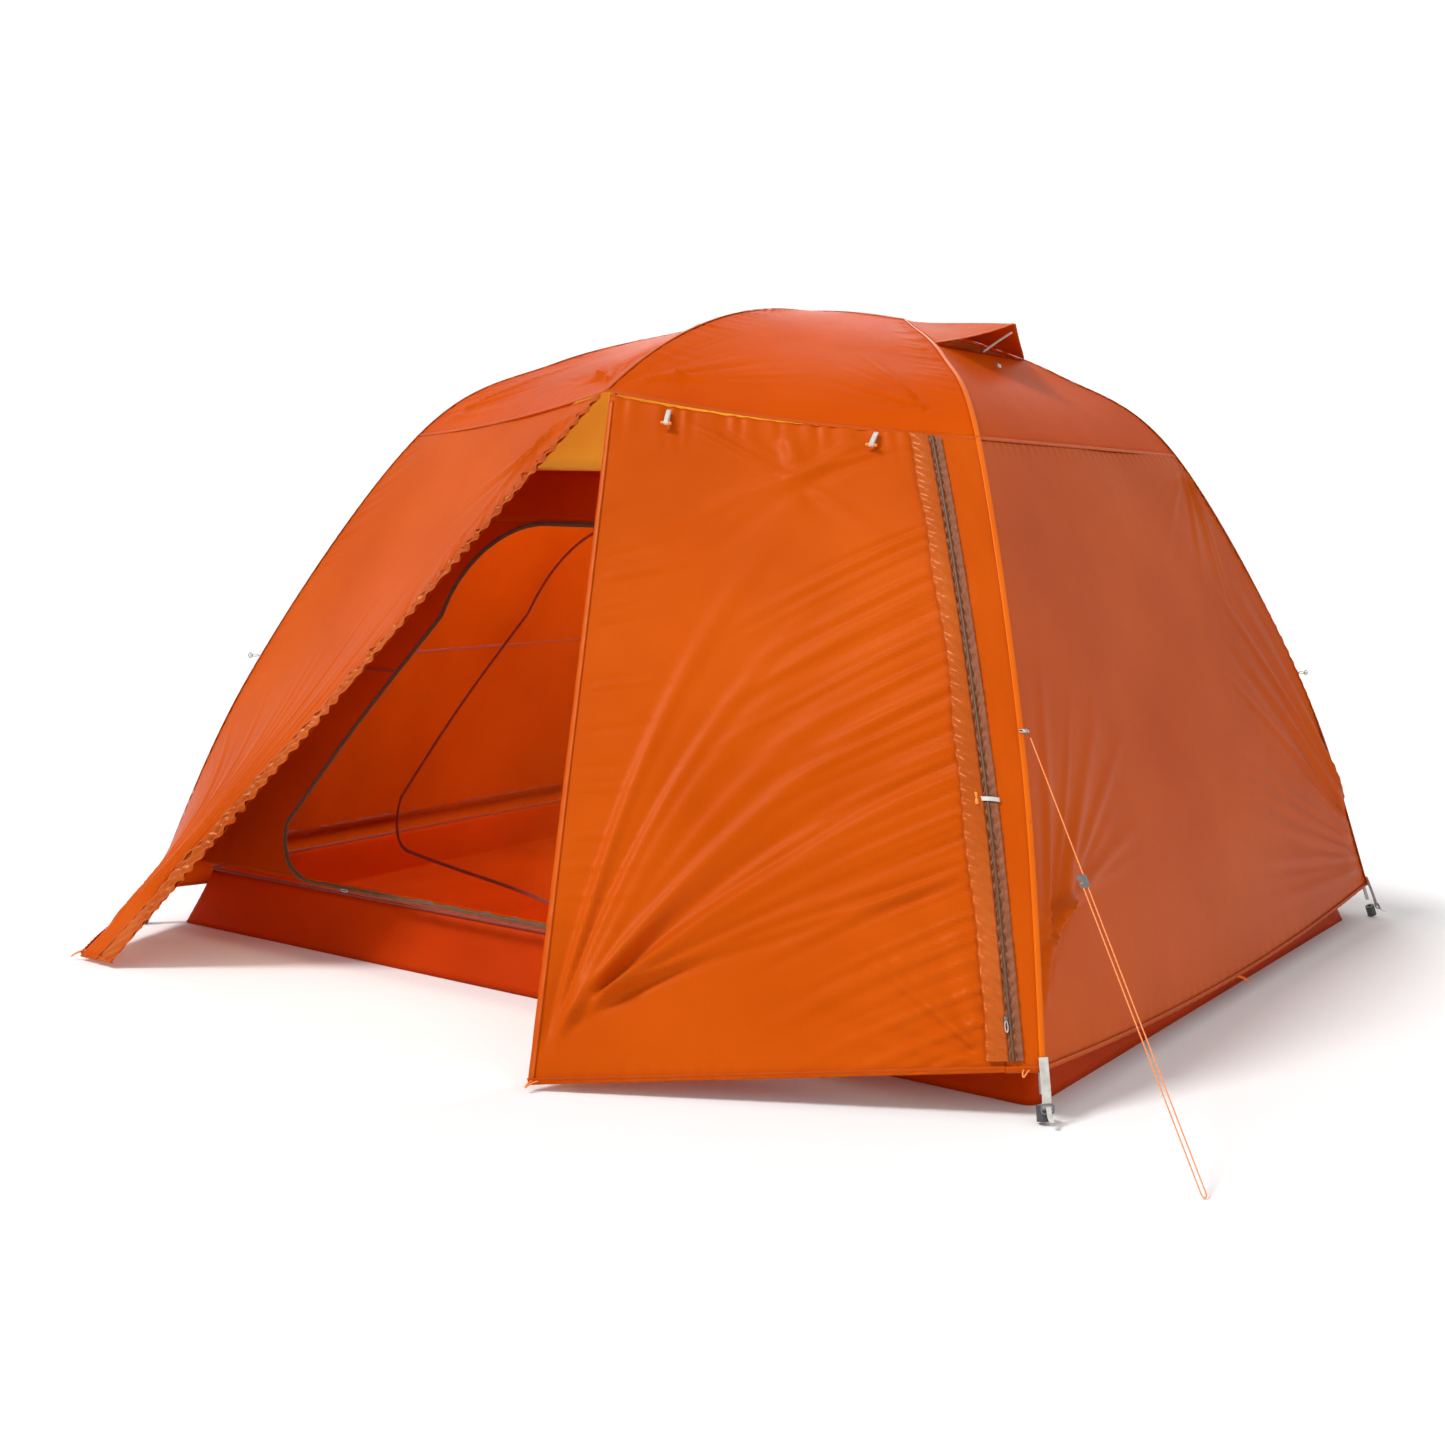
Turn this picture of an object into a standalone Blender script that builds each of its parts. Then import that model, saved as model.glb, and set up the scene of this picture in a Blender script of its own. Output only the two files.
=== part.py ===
"""A hubbed pole dome tent: poles, rain fly with two vestibules, inner tent, vent, corner hardware, guyline.

Metres, +Z up. The origin is on the ground at the middle of the floor. +X runs along the long side
towards the vented end, and -Y is the near side, whose vestibule stands open.
"""

import math

import bmesh
import bpy
from mathutils import Matrix, Vector

NEAR, FAR = -1, 1
LEFT, RIGHT = -1, 1
SIDES = {"near": NEAR, "far": FAR}
ENDS = {"left": LEFT, "right": RIGHT}

# Overall size, pole foot to pole foot and up to the ridge
LENGTH, DEPTH, HEIGHT = 2.600, 2.320, 1.660
STRETCH = Vector((LENGTH / 2.600, DEPTH / 2.320, HEIGHT / 1.660))


def sized(x, y, z):
    """A point of the photographed tent, stretched with the overall size."""
    return Vector((x * STRETCH.x, y * STRETCH.y, z * STRETCH.z))


# Pole layout: the fabric line over one leg, from the ground to the hub, in the +X +Y quarter
FOOT = Vector((LENGTH / 2, DEPTH / 2, 0.0))
LEG_LOW = sized(1.120, 0.938, 0.655)
KNEE = sized(0.825, 0.605, 1.305)
LEG_HIGH = sized(0.585, 0.325, 1.510)
HUB = sized(0.305, 0.0, 1.630)
PEAK_Z = HEIGHT
BROW_REACH = 0.865 * STRETCH.y
BROW_END_Z = 1.400 * STRETCH.z
KNEE_T = 0.5
HEM_T = 0.036
JOIN_T = 0.27
LEG_START_T, LEG_END_T = 0.0185, 0.965
RIDGE_ENDS = (0.055, 0.945)
BROW_TIP_T = 0.985
POLE_R = 0.0048
BROW_R = 0.0043
CLOTH_ROOM = 0.0082 * max(STRETCH)
POLE_DEPTH = POLE_R + CLOTH_ROOM
BROW_DEPTH = POLE_DEPTH + POLE_R + BROW_R + 0.0049
POLE_CORE = sized(0.0, 0.0, 0.60)
POLE_END_GAP = 0.0010
HUB_R = POLE_R + 0.0092
HUB_HEIGHT = 2.5 * POLE_R
HUB_DEPTH = POLE_DEPTH + 0.0015
SOCKET_ROOM = 0.0008
LEG_SOCKET = (0.958, 0.985)
RIDGE_SOCKETS = {LEFT: (0.020, 0.070), RIGHT: (0.980, 0.930)}

# Fabric
FABRIC = 0.0014
SEAM_GAP = 0.0035
PANEL_TOP_T = KNEE_T - 0.004
END_SAG = 0.020
SEAM_DROP = 0.015
HEM_DIP = 0.045

# Vestibules, given for the near side and mirrored for the far one
APEX_GAP = 0.012
DOOR_CORNER = sized(0.400, 1.600, 0.012)
FLAP_CORNER = sized(-0.980, 1.500, 0.012)
FLAP_TIP = sized(-1.095, 1.500, 0.010)
FLAP_TIP_U = 0.78
ZIP_TOP_U = 0.860
ZIP_FOOT_U = 0.930
PANEL_TOP_V = 0.006
MIDDLE_TOP_V = 0.030
STRIP_FROM, STRIP_TO = 0.030, 0.985
LEFT_PANEL_FROM = 0.0035
ROLL_TOP_V, ROLL_FOOT_V = 0.10, 0.96
ROLL_TOP_R, ROLL_FOOT_R = 0.016, 0.030
ROLL_ROOM = 0.010
ROLL_STATIONS = 8

# Inner tent
FLOOR_X, FLOOR_Y = 1.235 * STRETCH.x, 1.070 * STRETCH.y
TUB_HEIGHT = 0.145
TUB_WALL = 0.0020
TUB_LEAN = 0.052
INNER_INSET = 0.075
INNER_TOP_T = 0.475
INNER_FOOT_T = 0.062
INNER_SAG = 0.012
INNER_EDGE = 0.004
CEILING_DROP = 0.085
CEILING_GAP = 0.006
DOOR_LEFT, DOOR_RIGHT = -0.885 * STRETCH.x, 0.420 * STRETCH.x
DOOR_SILL, DOOR_TOP = 0.172, 1.085 * STRETCH.z
DOOR_TOP_LEFT = -0.560 * STRETCH.x
DOOR_LOW_R, DOOR_HIGH_R = 0.130, 0.240
DOOR_GAP = 0.0045
DOOR_AXIS_Y = 0.620 * STRETCH.y
DOOR_AJAR = math.radians(20.0)

# Vent at the right end
CAP_ROWS, VENT_ROW = 5, 2
VENT_T = 1 - (1 - KNEE_T) * VENT_ROW / CAP_ROWS
VENT_TOP_T = 0.975
VENT_HINGE = sized(0.335, 0.0, 1.636)
HOOD_TIP = sized(0.622, 0.0, 1.606)
HOOD_WING = sized(0.505, 0.165, 1.592)
HOOD_ROOT_Y = 0.012
VENT_MESH_DROP, VENT_MESH_GAP = 0.030, 0.004
VENT_MESH_FOOT = 0.008
VENT_MESH_INSET = 0.10
STRUT_FOOT = sized(0.530, 0.0, 1.542)
STRUT_TOP = sized(0.610, 0.0, 1.590)
STRUT_WIDTH, STRUT_THICK = 0.012, 0.0024

# Corner hardware
CUP_BORE_R = POLE_R + 0.0014
CUP_R = CUP_BORE_R + 0.0063
CUP_HEIGHT, CUP_FLOOR = 0.030, 0.006
STRAP_WIDTH, STRAP_THICK = 0.022, 0.0020
STRAP_STANDOFF = 0.010
STRAP_TOP_T, STRAP_FOOT_T = 0.034, 0.0125
OUTWARD_X, OUTWARD_Y = 0.75, 0.66
GUYOUT_T = 0.272
GUYOUT_GAP = 0.0040
GUYOUT_SIZE = (0.016, 0.034, 0.0030)

# Small moving pieces
SLIDER_SIZE = (0.011, 0.030, 0.0050)
SLIDER_STANDOFF = 0.009
SLIDER_V = 0.93
SLIDER_SHARE = 0.12
INNER_SLIDER_X = -0.640 * STRETCH.x
INNER_SLIDER_GAP, INNER_SLIDER_DROP = 0.0010, 0.006
TOGGLE_R, TOGGLE_LENGTH = 0.0040, 0.027
TOGGLE_DROP, TOGGLE_STANDOFF = 0.034, 0.010
TOGGLE_PLACES = (0.17, 0.73)
TOGGLE_V, TOGGLE_LEAN_V = 0.02, 0.20

# Guyline at the near right corner
LINE_R = 0.00125
LINE_TOP = sized(1.1420, -0.9600, 0.7060)
LINE_STAKE = sized(1.6700, -1.3300, 0.0080)
LINE_SPACING = 0.0100
LINE_TURN = 0.8
LINE_GROUND_GAP = 0.0006
LINE_DOUBLE_FROM = 0.300
TENSIONER_AT = 0.330
TENSIONER_BORE_R = 0.0021
TENSIONER_SIZE = (0.018, 2 * TENSIONER_BORE_R + 0.0008, 0.026)


def material(name, color, roughness, metallic=0.0):
    made = bpy.data.materials.new(name)
    made.use_nodes = True
    shader = made.node_tree.nodes["Principled BSDF"]
    shader.inputs["Base Color"].default_value = (*color, 1.0)
    shader.inputs["Roughness"].default_value = roughness
    shader.inputs["Metallic"].default_value = metallic
    return made


def clear_scene():
    for obj in list(bpy.data.objects):
        bpy.data.objects.remove(obj, do_unlink=True)


def collection(name):
    made = bpy.data.collections.new(name)
    bpy.context.scene.collection.children.link(made)
    return made


def new_object(name, data, look):
    obj = bpy.data.objects.new(name, data)
    data.materials.append(look)
    PARTS.objects.link(obj)
    return obj


def smooth_path(points, t):
    """The point at t, from 0 to 1, on a Catmull-Rom curve through the points."""
    ends = [2 * points[0] - points[1], *points, 2 * points[-1] - points[-2]]
    spans = len(points) - 1
    span = min(int(t * spans), spans - 1)
    w = t * spans - span
    p0, p1, p2, p3 = ends[span : span + 4]
    return 0.5 * (
        2 * p1
        + (p2 - p0) * w
        + (2 * p0 - 5 * p1 + 4 * p2 - p3) * w * w
        + (3 * p1 - p0 - 3 * p2 + p3) * w**3
    )


def mirrored(point, end, side):
    return Vector((point.x * end, point.y * side, point.z))


def leg(end, side, t):
    """The fabric line over one leg: t is 0 on the ground, KNEE_T at the knee and 1 at the hub."""
    path = (FOOT, LEG_LOW, KNEE, LEG_HIGH, HUB)
    return mirrored(smooth_path(path, t), end, side)


def brow(side, t):
    """The fabric line over the cross pole, from the peak (0) to its end above a vestibule (1)."""
    drop = PEAK_Z - BROW_END_Z
    radius = (BROW_REACH**2 + drop**2) / (2 * drop)
    y = BROW_REACH * t
    return Vector((0.0, side * y, PEAK_Z - radius + math.sqrt(radius**2 - y**2)))


def ridge(t):
    """The fabric line over the ridge pole, from the left hub (0) to the right one (1)."""
    x = HUB.x * (2 * t - 1)
    return Vector((x, 0.0, HUB.z + (PEAK_Z - HUB.z) * (1 - (x / HUB.x) ** 2)))


def inward(point, depth):
    return point + (POLE_CORE - point).normalized() * depth


def leg_pole(end, side, t):
    return inward(leg(end, side, t), POLE_DEPTH)


def brow_pole(side, t):
    return inward(brow(side, t), BROW_DEPTH)


def ridge_pole(t):
    return inward(ridge(t), POLE_DEPTH)


def spread(start, stop, count):
    return [start + (stop - start) * i / (count - 1) for i in range(count)]


def tube(name, points, radius, look, sides=2, radii=None):
    """A rod along the points. The radii, when given, are shares of the radius."""
    curve = bpy.data.curves.new(name, "CURVE")
    curve.dimensions = "3D"
    curve.bevel_depth = radius
    curve.bevel_resolution = sides
    curve.use_fill_caps = True
    spline = curve.splines.new("POLY")
    spline.points.add(len(points) - 1)
    for i, point in enumerate(points):
        spline.points[i].co = (*point, 1.0)
        spline.points[i].radius = radii[i] if radii else 1.0
    return new_object(name, curve, look)


def solidify(obj, thickness):
    shell = obj.modifiers.new("thickness", "SOLIDIFY")
    shell.thickness = thickness
    shell.offset = 0.0
    shell.use_even_offset = True
    return shell


def add_patch(bm, surface, across, down):
    """A grid bent onto surface(u, v), with u and v running from 0 to 1."""
    made = bmesh.ops.create_grid(bm, x_segments=across, y_segments=down, size=0.5)
    for vert in made["verts"]:
        vert.co = surface(vert.co.x + 0.5, vert.co.y + 0.5)


def patches(name, surfaces, look, thickness=FABRIC):
    """One fabric piece sewn from bent grids, each given as (surface, across, down)."""
    bm = bmesh.new()
    for surface, across, down in surfaces:
        add_patch(bm, surface, across, down)
    bmesh.ops.remove_doubles(bm, verts=bm.verts, dist=0.00005)
    bmesh.ops.dissolve_degenerate(bm, edges=bm.edges, dist=0.00005)
    bmesh.ops.recalc_face_normals(bm, faces=bm.faces)
    mesh = bpy.data.meshes.new(name)
    bm.to_mesh(mesh)
    bm.free()
    mesh.shade_smooth()
    obj = new_object(name, mesh, look)
    solidify(obj, thickness)
    return obj


def bar(name, start, stop, width_way, width, thickness, look):
    """A flat strap or plate from start to stop, its width along width_way."""
    run = stop - start
    along = run.normalized()
    across = (width_way - along * width_way.dot(along)).normalized()
    normal = along.cross(across)
    bm = bmesh.new()
    bmesh.ops.create_cube(bm, size=1.0)
    bmesh.ops.scale(bm, verts=bm.verts, vec=(width, run.length, thickness))
    mesh = bpy.data.meshes.new(name)
    bm.to_mesh(mesh)
    bm.free()
    obj = new_object(name, mesh, look)
    turn = Matrix((across, along, normal)).transposed()
    obj.matrix_world = Matrix.Translation((start + stop) / 2) @ turn.to_4x4()
    return obj


def turned(name, profile, place, axis, look, steps=16):
    """A solid of revolution: the (radius, height) profile spun about the axis through the place."""
    mesh = bpy.data.meshes.new(name)
    bm = bmesh.new()
    verts = [bm.verts.new((radius, 0.0, height)) for radius, height in profile]
    for first, second in zip(verts, verts[1:]):
        bm.edges.new((first, second))
    bm.to_mesh(mesh)
    bm.free()
    obj = new_object(name, mesh, look)
    screw = obj.modifiers.new("spin", "SCREW")
    screw.steps = steps
    screw.render_steps = steps
    screw.use_merge_vertices = True
    screw.merge_threshold = 0.00001
    obj.matrix_world = Matrix.Translation(place) @ axis.to_track_quat("Z", "Y").to_matrix().to_4x4()
    return obj


def cylinder(name, place, axis, radius, length, look):
    half = length / 2
    profile = ((0.0, half), (radius, half), (radius, -half), (0.0, -half))
    return turned(name, profile, place, axis, look)


def boolean(obj, cutter, operation):
    cut = obj.modifiers.new(operation.lower(), "BOOLEAN")
    cut.object = cutter
    cut.operation = operation


# Poles


def leg_section(name, end, side, start, stop, count, look):
    points = [leg_pole(end, side, t) for t in spread(start, stop, count)]
    return tube(name, points, POLE_R, look)


def make_poles(look, plastic):
    gap = POLE_END_GAP
    for end_name, end in ENDS.items():
        for side_name, side in SIDES.items():
            where = f"{side_name}_{end_name}"
            leg_section(f"leg_lower_{where}", end, side, LEG_START_T, JOIN_T - gap, 8, look)
            leg_section(f"leg_upper_{where}", end, side, JOIN_T + gap, LEG_END_T, 15, look)
    points = [ridge_pole(t) for t in spread(*RIDGE_ENDS, 9)]
    tube("ridge_pole", points, POLE_R, look)
    points = [brow_pole(s, t) for s, t in brow_stations()]
    tube("brow_pole", points, BROW_R, look)
    for end_name, end in ENDS.items():
        place = inward(mirrored(HUB, end, NEAR), HUB_DEPTH)
        hub = cylinder(f"hub_{end_name}", place, Vector((0, 0, 1)), HUB_R, HUB_HEIGHT, plastic)
        cut_sockets(hub, end)


def brow_stations():
    steps = spread(BROW_TIP_T, 0.0, 8)
    return [(NEAR, t) for t in steps] + [(FAR, t) for t in reversed(steps[:-1])]


def cutter_rod(name, points, radius):
    rod = tube(name, points, radius, CUTTER_LOOK)
    graph = bpy.context.evaluated_depsgraph_get()
    mesh = bpy.data.meshes.new_from_object(rod.evaluated_get(graph))
    bpy.data.objects.remove(rod, do_unlink=True)
    bm = bmesh.new()
    bm.from_mesh(mesh)
    bmesh.ops.remove_doubles(bm, verts=bm.verts, dist=0.00001)
    bmesh.ops.recalc_face_normals(bm, faces=bm.faces)
    bm.to_mesh(mesh)
    bm.free()
    return cutter(name, mesh)


def cutter(name, mesh):
    obj = bpy.data.objects.new(name, mesh)
    obj.hide_render = True
    obj.display_type = "WIRE"
    CUTTERS.objects.link(obj)
    return obj


def cut_sockets(hub, end):
    """The three pole sockets in a hub, each with running room round its pole."""
    room = POLE_R + SOCKET_ROOM
    for side_name, side in SIDES.items():
        points = [leg_pole(end, side, t) for t in LEG_SOCKET]
        rod = cutter_rod(f"{hub.name}_{side_name}_socket", points, room)
        boolean(hub, rod, "DIFFERENCE")
    rod = cutter_rod(f"{hub.name}_ridge_socket", [ridge_pole(t) for t in RIDGE_SOCKETS[end]], room)
    boolean(hub, rod, "DIFFERENCE")


# Rain fly


def mix(a, b, t):
    return a + (b - a) * t


def seam(end, side, t):
    """The cap's lower seam from the brow pole's end (0) to a knee (1)."""
    point = mix(brow(side, 1.0), leg(end, side, KNEE_T), t)
    point.z -= SEAM_DROP * 4 * t * (1 - t)
    return point


def cap_front(end, side):
    """The cap panel between the brow pole, the ridge, one leg and the seam over a vestibule."""

    def surface(u, v):
        left, right = brow(side, v), leg(end, side, 1 - (1 - KNEE_T) * v)
        top, bottom = ridge(0.5 + 0.5 * end * u), seam(end, side, u)
        high = mix(brow(side, 0), leg(end, side, 1), u)
        low = mix(brow(side, 1), leg(end, side, KNEE_T), u)
        return mix(left, right, u) + mix(top, bottom, v) - mix(high, low, v)

    return surface


def cap_end(end, top_t):
    """The cap panel between the two legs of one end, from the seam at the knees up to top_t."""

    def surface(u, v):
        t = mix(top_t, KNEE_T, v)
        return mix(leg(end, NEAR, t), leg(end, FAR, t), u)

    return surface


def make_cap(look):
    fronts = [cap_front(end, side) for end in ENDS.values() for side in SIDES.values()]
    pieces = [(surface, 6, CAP_ROWS) for surface in fronts]
    pieces.append((cap_end(LEFT, 1.0), 6, CAP_ROWS))
    pieces.append((cap_end(RIGHT, VENT_T), 6, CAP_ROWS - VENT_ROW))
    patches("fly_cap", pieces, look)


def end_panel(end):
    """A fly end panel, ruled between its two legs and pulled in a little at its middle."""

    def surface(u, v):
        t = mix(PANEL_TOP_T, HEM_T, v)
        edge = SEAM_GAP / (2 * FOOT.y)
        point = mix(leg(end, NEAR, t), leg(end, FAR, t), mix(edge, 1 - edge, u))
        point.x -= end * END_SAG * 4 * u * (1 - u) * math.sin(math.pi * v)
        point.z -= HEM_DIP * v**4 * 4 * u * (1 - u)
        return point

    return surface


def apex(side, shift):
    return brow(side, 1.0) + Vector((shift, side * 0.001, -0.010))


def side_point(point, side):
    return Vector((point.x, point.y * side, point.z))


def flap_edge(side, v):
    """The free edge of the fixed left vestibule panel, from the brow pole's end to the ground."""
    return mix(apex(side, -APEX_GAP), side_point(FLAP_CORNER, side), v)


def door_edge(side, v):
    """The left edge of the right door panel, from the brow pole's end to the staked corner."""
    return mix(apex(side, APEX_GAP), side_point(DOOR_CORNER, side), v)


def vestibule_left(side):
    def surface(u, v):
        t = mix(PANEL_TOP_T, HEM_T, v)
        along = mix(LEFT_PANEL_FROM, 1.0, u)
        point = mix(leg(LEFT, side, t), flap_edge(side, v), along)
        hem = mix(leg(LEFT, side, HEM_T), flap_edge(side, 1.0), along)
        tip = side_point(FLAP_TIP, side)
        if along < FLAP_TIP_U:
            cut = mix(leg(LEFT, side, HEM_T), tip, along / FLAP_TIP_U)
        else:
            cut = mix(tip, flap_edge(side, 1.0), (along - FLAP_TIP_U) / (1 - FLAP_TIP_U))
        point += (cut - hem) * v**3
        point.z -= SEAM_DROP * 4 * along * (1 - along) * (1 - v) ** 4
        return point

    return surface


def zip_line(side, v):
    """The zip between the door panel and the strip beside the right leg."""
    t = mix(PANEL_TOP_T, HEM_T, v)
    return mix(door_edge(side, v), leg(RIGHT, side, t), mix(ZIP_TOP_U, ZIP_FOOT_U, v))


def door_panel(side):
    def surface(u, v):
        v = mix(PANEL_TOP_V, 1.0, v)
        point = mix(door_edge(side, v), zip_line(side, v), u)
        point.z -= SEAM_DROP * 4 * u * (1 - u) * (1 - v) ** 4
        return point

    return surface


def zip_strip(side):
    def surface(u, v):
        v = mix(PANEL_TOP_V, 1.0, v)
        t = mix(PANEL_TOP_T, HEM_T, v)
        return mix(zip_line(side, v), leg(RIGHT, side, t), mix(STRIP_FROM, STRIP_TO, u))

    return surface


def middle_panel(side):
    """The triangular door panel between the left panel's free edge and the right door panel."""

    def surface(u, v):
        v = mix(MIDDLE_TOP_V, 1.0, v)
        share = SEAM_GAP / (flap_edge(side, v) - door_edge(side, v)).length
        return mix(flap_edge(side, v), door_edge(side, v), mix(share, 1 - share, u))

    return surface


def make_fly(cap, side_look, roll_look):
    make_cap(cap)
    for end_name, end in ENDS.items():
        patches(f"fly_end_{end_name}", [(end_panel(end), 8, 8)], side_look)
    for side_name, side in SIDES.items():
        patches(f"{side_name}_vestibule_panel", [(vestibule_left(side), 9, 7)], side_look)
        patches(f"{side_name}_door_panel", [(door_panel(side), 7, 8)], side_look)
        patches(f"{side_name}_zip_strip", [(zip_strip(side), 2, 8)], side_look)
    patches("far_door_middle", [(middle_panel(FAR), 6, 8)], side_look)
    make_roll(roll_look)


def roll_point(v, radius):
    """The middle of the rolled door, tucked behind the left edge of the near door panel."""
    across = (zip_line(NEAR, v) - door_edge(NEAR, v)).normalized()
    behind = -surface_normal(NEAR, v)
    return door_edge(NEAR, v) + across * radius + behind * (radius + ROLL_ROOM)


def make_roll(look):
    stations = spread(ROLL_TOP_V, ROLL_FOOT_V, ROLL_STATIONS)
    radii = spread(ROLL_TOP_R, ROLL_FOOT_R, ROLL_STATIONS)
    points = [roll_point(v, radius) for v, radius in zip(stations, radii)]
    shares = [radius / ROLL_FOOT_R for radius in radii]
    tube("near_rolled_door", points, ROLL_FOOT_R, look, radii=shares)


# Inner tent


def inner_leg(end, side, t):
    """The inner tent's corner line, hung inside the leg."""
    point = leg(end, side, t)
    return inward(point, INNER_INSET)


def inner_height_t(v):
    return mix(INNER_TOP_T, INNER_FOOT_T, v)


def inner_side(side):
    def surface(u, v):
        t = inner_height_t(v)
        return mix(inner_leg(LEFT, side, t), inner_leg(RIGHT, side, t), mix(INNER_EDGE, 1 - INNER_EDGE, u))

    return surface


def inner_end(end):
    def surface(u, v):
        t = inner_height_t(v)
        point = mix(inner_leg(end, NEAR, t), inner_leg(end, FAR, t), mix(INNER_EDGE, 1 - INNER_EDGE, u))
        point.x -= end * INNER_SAG * 4 * u * (1 - u) * math.sin(math.pi * v)
        return point

    return surface


def arc_points(centre_x, centre_z, radius, start, stop, count=7):
    """Points in X and Z along an arc, its angles in degrees from +X towards +Z."""
    angles = [math.radians(angle) for angle in spread(start, stop, count)]
    return [(centre_x + radius * math.cos(a), centre_z + radius * math.sin(a)) for a in angles]


def door_outline(inset):
    """The D-shaped door's outline in X and Z, straight at the right where it is sewn on."""
    right = DOOR_RIGHT - inset
    low, high = DOOR_LOW_R, DOOR_HIGH_R
    lower = arc_points(DOOR_LEFT + low, DOOR_SILL + low, low - inset, 270, 180)
    upper = arc_points(DOOR_TOP_LEFT + high, DOOR_TOP - high, high - inset, 180, 90)
    return [(right, DOOR_SILL + inset), *lower, *upper, (right, DOOR_TOP - inset)]


def outline_cutter(name, outline, side):
    """The outline as a prism along Y, deep enough to pass through one inner wall."""
    low, high = sorted((side * 0.45 * STRETCH.y, side * 1.30 * STRETCH.y))
    bm = bmesh.new()
    verts = [bm.verts.new((x, low, z)) for x, z in outline]
    face = bm.faces.new(verts)
    grown = bmesh.ops.extrude_face_region(bm, geom=[face])
    moved = [item for item in grown["geom"] if isinstance(item, bmesh.types.BMVert)]
    bmesh.ops.translate(bm, verts=moved, vec=(0.0, high - low, 0.0))
    bmesh.ops.recalc_face_normals(bm, faces=bm.faces)
    mesh = bpy.data.meshes.new(name)
    bm.to_mesh(mesh)
    bm.free()
    return cutter(name, mesh)


def make_inner_side(side_name, side, wall_look, door_look):
    wall = patches(f"inner_wall_{side_name}", [(inner_side(side), 8, 6)], wall_look)
    hole = outline_cutter(f"{side_name}_door_hole", door_outline(0.0), side)
    boolean(wall, hole, "DIFFERENCE")
    door = patches(f"{side_name}_inner_door", [(inner_side(side), 8, 6)], door_look)
    inside = outline_cutter(f"{side_name}_door_edge", door_outline(DOOR_GAP), side)
    boolean(door, inside, "INTERSECT")
    if side == NEAR:
        hinge = Vector((DOOR_RIGHT, side * DOOR_AXIS_Y, 0.0))
        swing = Matrix.Rotation(-DOOR_AJAR, 4, "Z")
        inside.parent = door
        door.matrix_world = Matrix.Translation(hinge) @ swing @ Matrix.Translation(-hinge)


def ceiling_surface(u, v):
    """The inner ceiling, hung under the ridge and sloping to the tops of the four walls."""
    top = inner_height_t(0.0)
    near = mix(inner_leg(LEFT, NEAR, top), inner_leg(RIGHT, NEAR, top), u)
    far = mix(inner_leg(LEFT, FAR, top), inner_leg(RIGHT, FAR, top), u)
    point = mix(near, far, v)
    rise = HUB.z - CEILING_DROP - near.z
    dome = min(1.0, 2.2 * (1 - abs(2 * u - 1))) * (1 - (2 * v - 1) ** 2)
    return point + Vector((0.0, 0.0, CEILING_GAP + rise * dome))


def make_tub(look):
    """The bathtub floor: a flat base with raised, slightly leaning walls, open at the top."""
    bm = bmesh.new()
    base = bmesh.ops.create_cube(bm, size=1.0)["verts"]
    bmesh.ops.scale(bm, verts=base, vec=(2 * FLOOR_X, 2 * FLOOR_Y, TUB_HEIGHT))
    bmesh.ops.translate(bm, verts=base, vec=(0.0, 0.0, TUB_HEIGHT / 2))
    for vert in bm.verts:
        if vert.co.z > TUB_HEIGHT / 2:
            vert.co.x -= math.copysign(TUB_LEAN, vert.co.x)
            vert.co.y -= math.copysign(TUB_LEAN, vert.co.y)
    lid = [face for face in bm.faces if face.normal.z > 0.9]
    bmesh.ops.delete(bm, geom=lid, context="FACES")
    mesh = bpy.data.meshes.new("tub_floor")
    bm.to_mesh(mesh)
    bm.free()
    obj = new_object("tub_floor", mesh, look)
    shell = solidify(obj, TUB_WALL)
    shell.offset = -1.0
    return obj


def make_inner(wall_look, mesh_look, floor_look):
    make_tub(floor_look)
    for side_name, side in SIDES.items():
        make_inner_side(side_name, side, wall_look, mesh_look)
    for end_name, end in ENDS.items():
        patches(f"inner_wall_{end_name}", [(inner_end(end), 6, 6)], wall_look)
    patches("inner_ceiling", [(ceiling_surface, 8, 6)], mesh_look)


# Vent


def hood_surface(u, v):
    """The vent hood: narrow at its hinge under the hub, widening to two wings and a raised tip."""
    root = VENT_HINGE + Vector((0.0, HOOD_ROOT_Y * (2 * u - 1), 0.0))
    wing = Vector((HOOD_WING.x, HOOD_WING.y * (2 * u - 1), HOOD_WING.z))
    crown = (1 - abs(2 * u - 1)) ** 0.8
    rim = wing + (HOOD_TIP - Vector((HOOD_WING.x, 0.0, HOOD_WING.z))) * crown
    return mix(root, rim, v)


def vent_mesh_surface(u, v):
    """The mesh that closes the hole in the cap under the hood."""
    t = mix(VENT_TOP_T, VENT_T + VENT_MESH_FOOT, v)
    point = mix(leg(RIGHT, NEAR, t), leg(RIGHT, FAR, t), mix(VENT_MESH_INSET, 1 - VENT_MESH_INSET, u))
    point.z -= VENT_MESH_DROP * math.sin(math.pi * u) ** 0.5 + VENT_MESH_GAP
    return point


def make_vent(hood_look, mesh_look, strut_look):
    patches("vent_hood", [(hood_surface, 6, 3)], hood_look)
    patches("vent_mesh", [(vent_mesh_surface, 6, 3)], mesh_look)
    width_way = Vector((0.0, 1.0, 0.0))
    bar("vent_strut", STRUT_FOOT, STRUT_TOP, width_way, STRUT_WIDTH, STRUT_THICK, strut_look)


# Corner hardware


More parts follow.
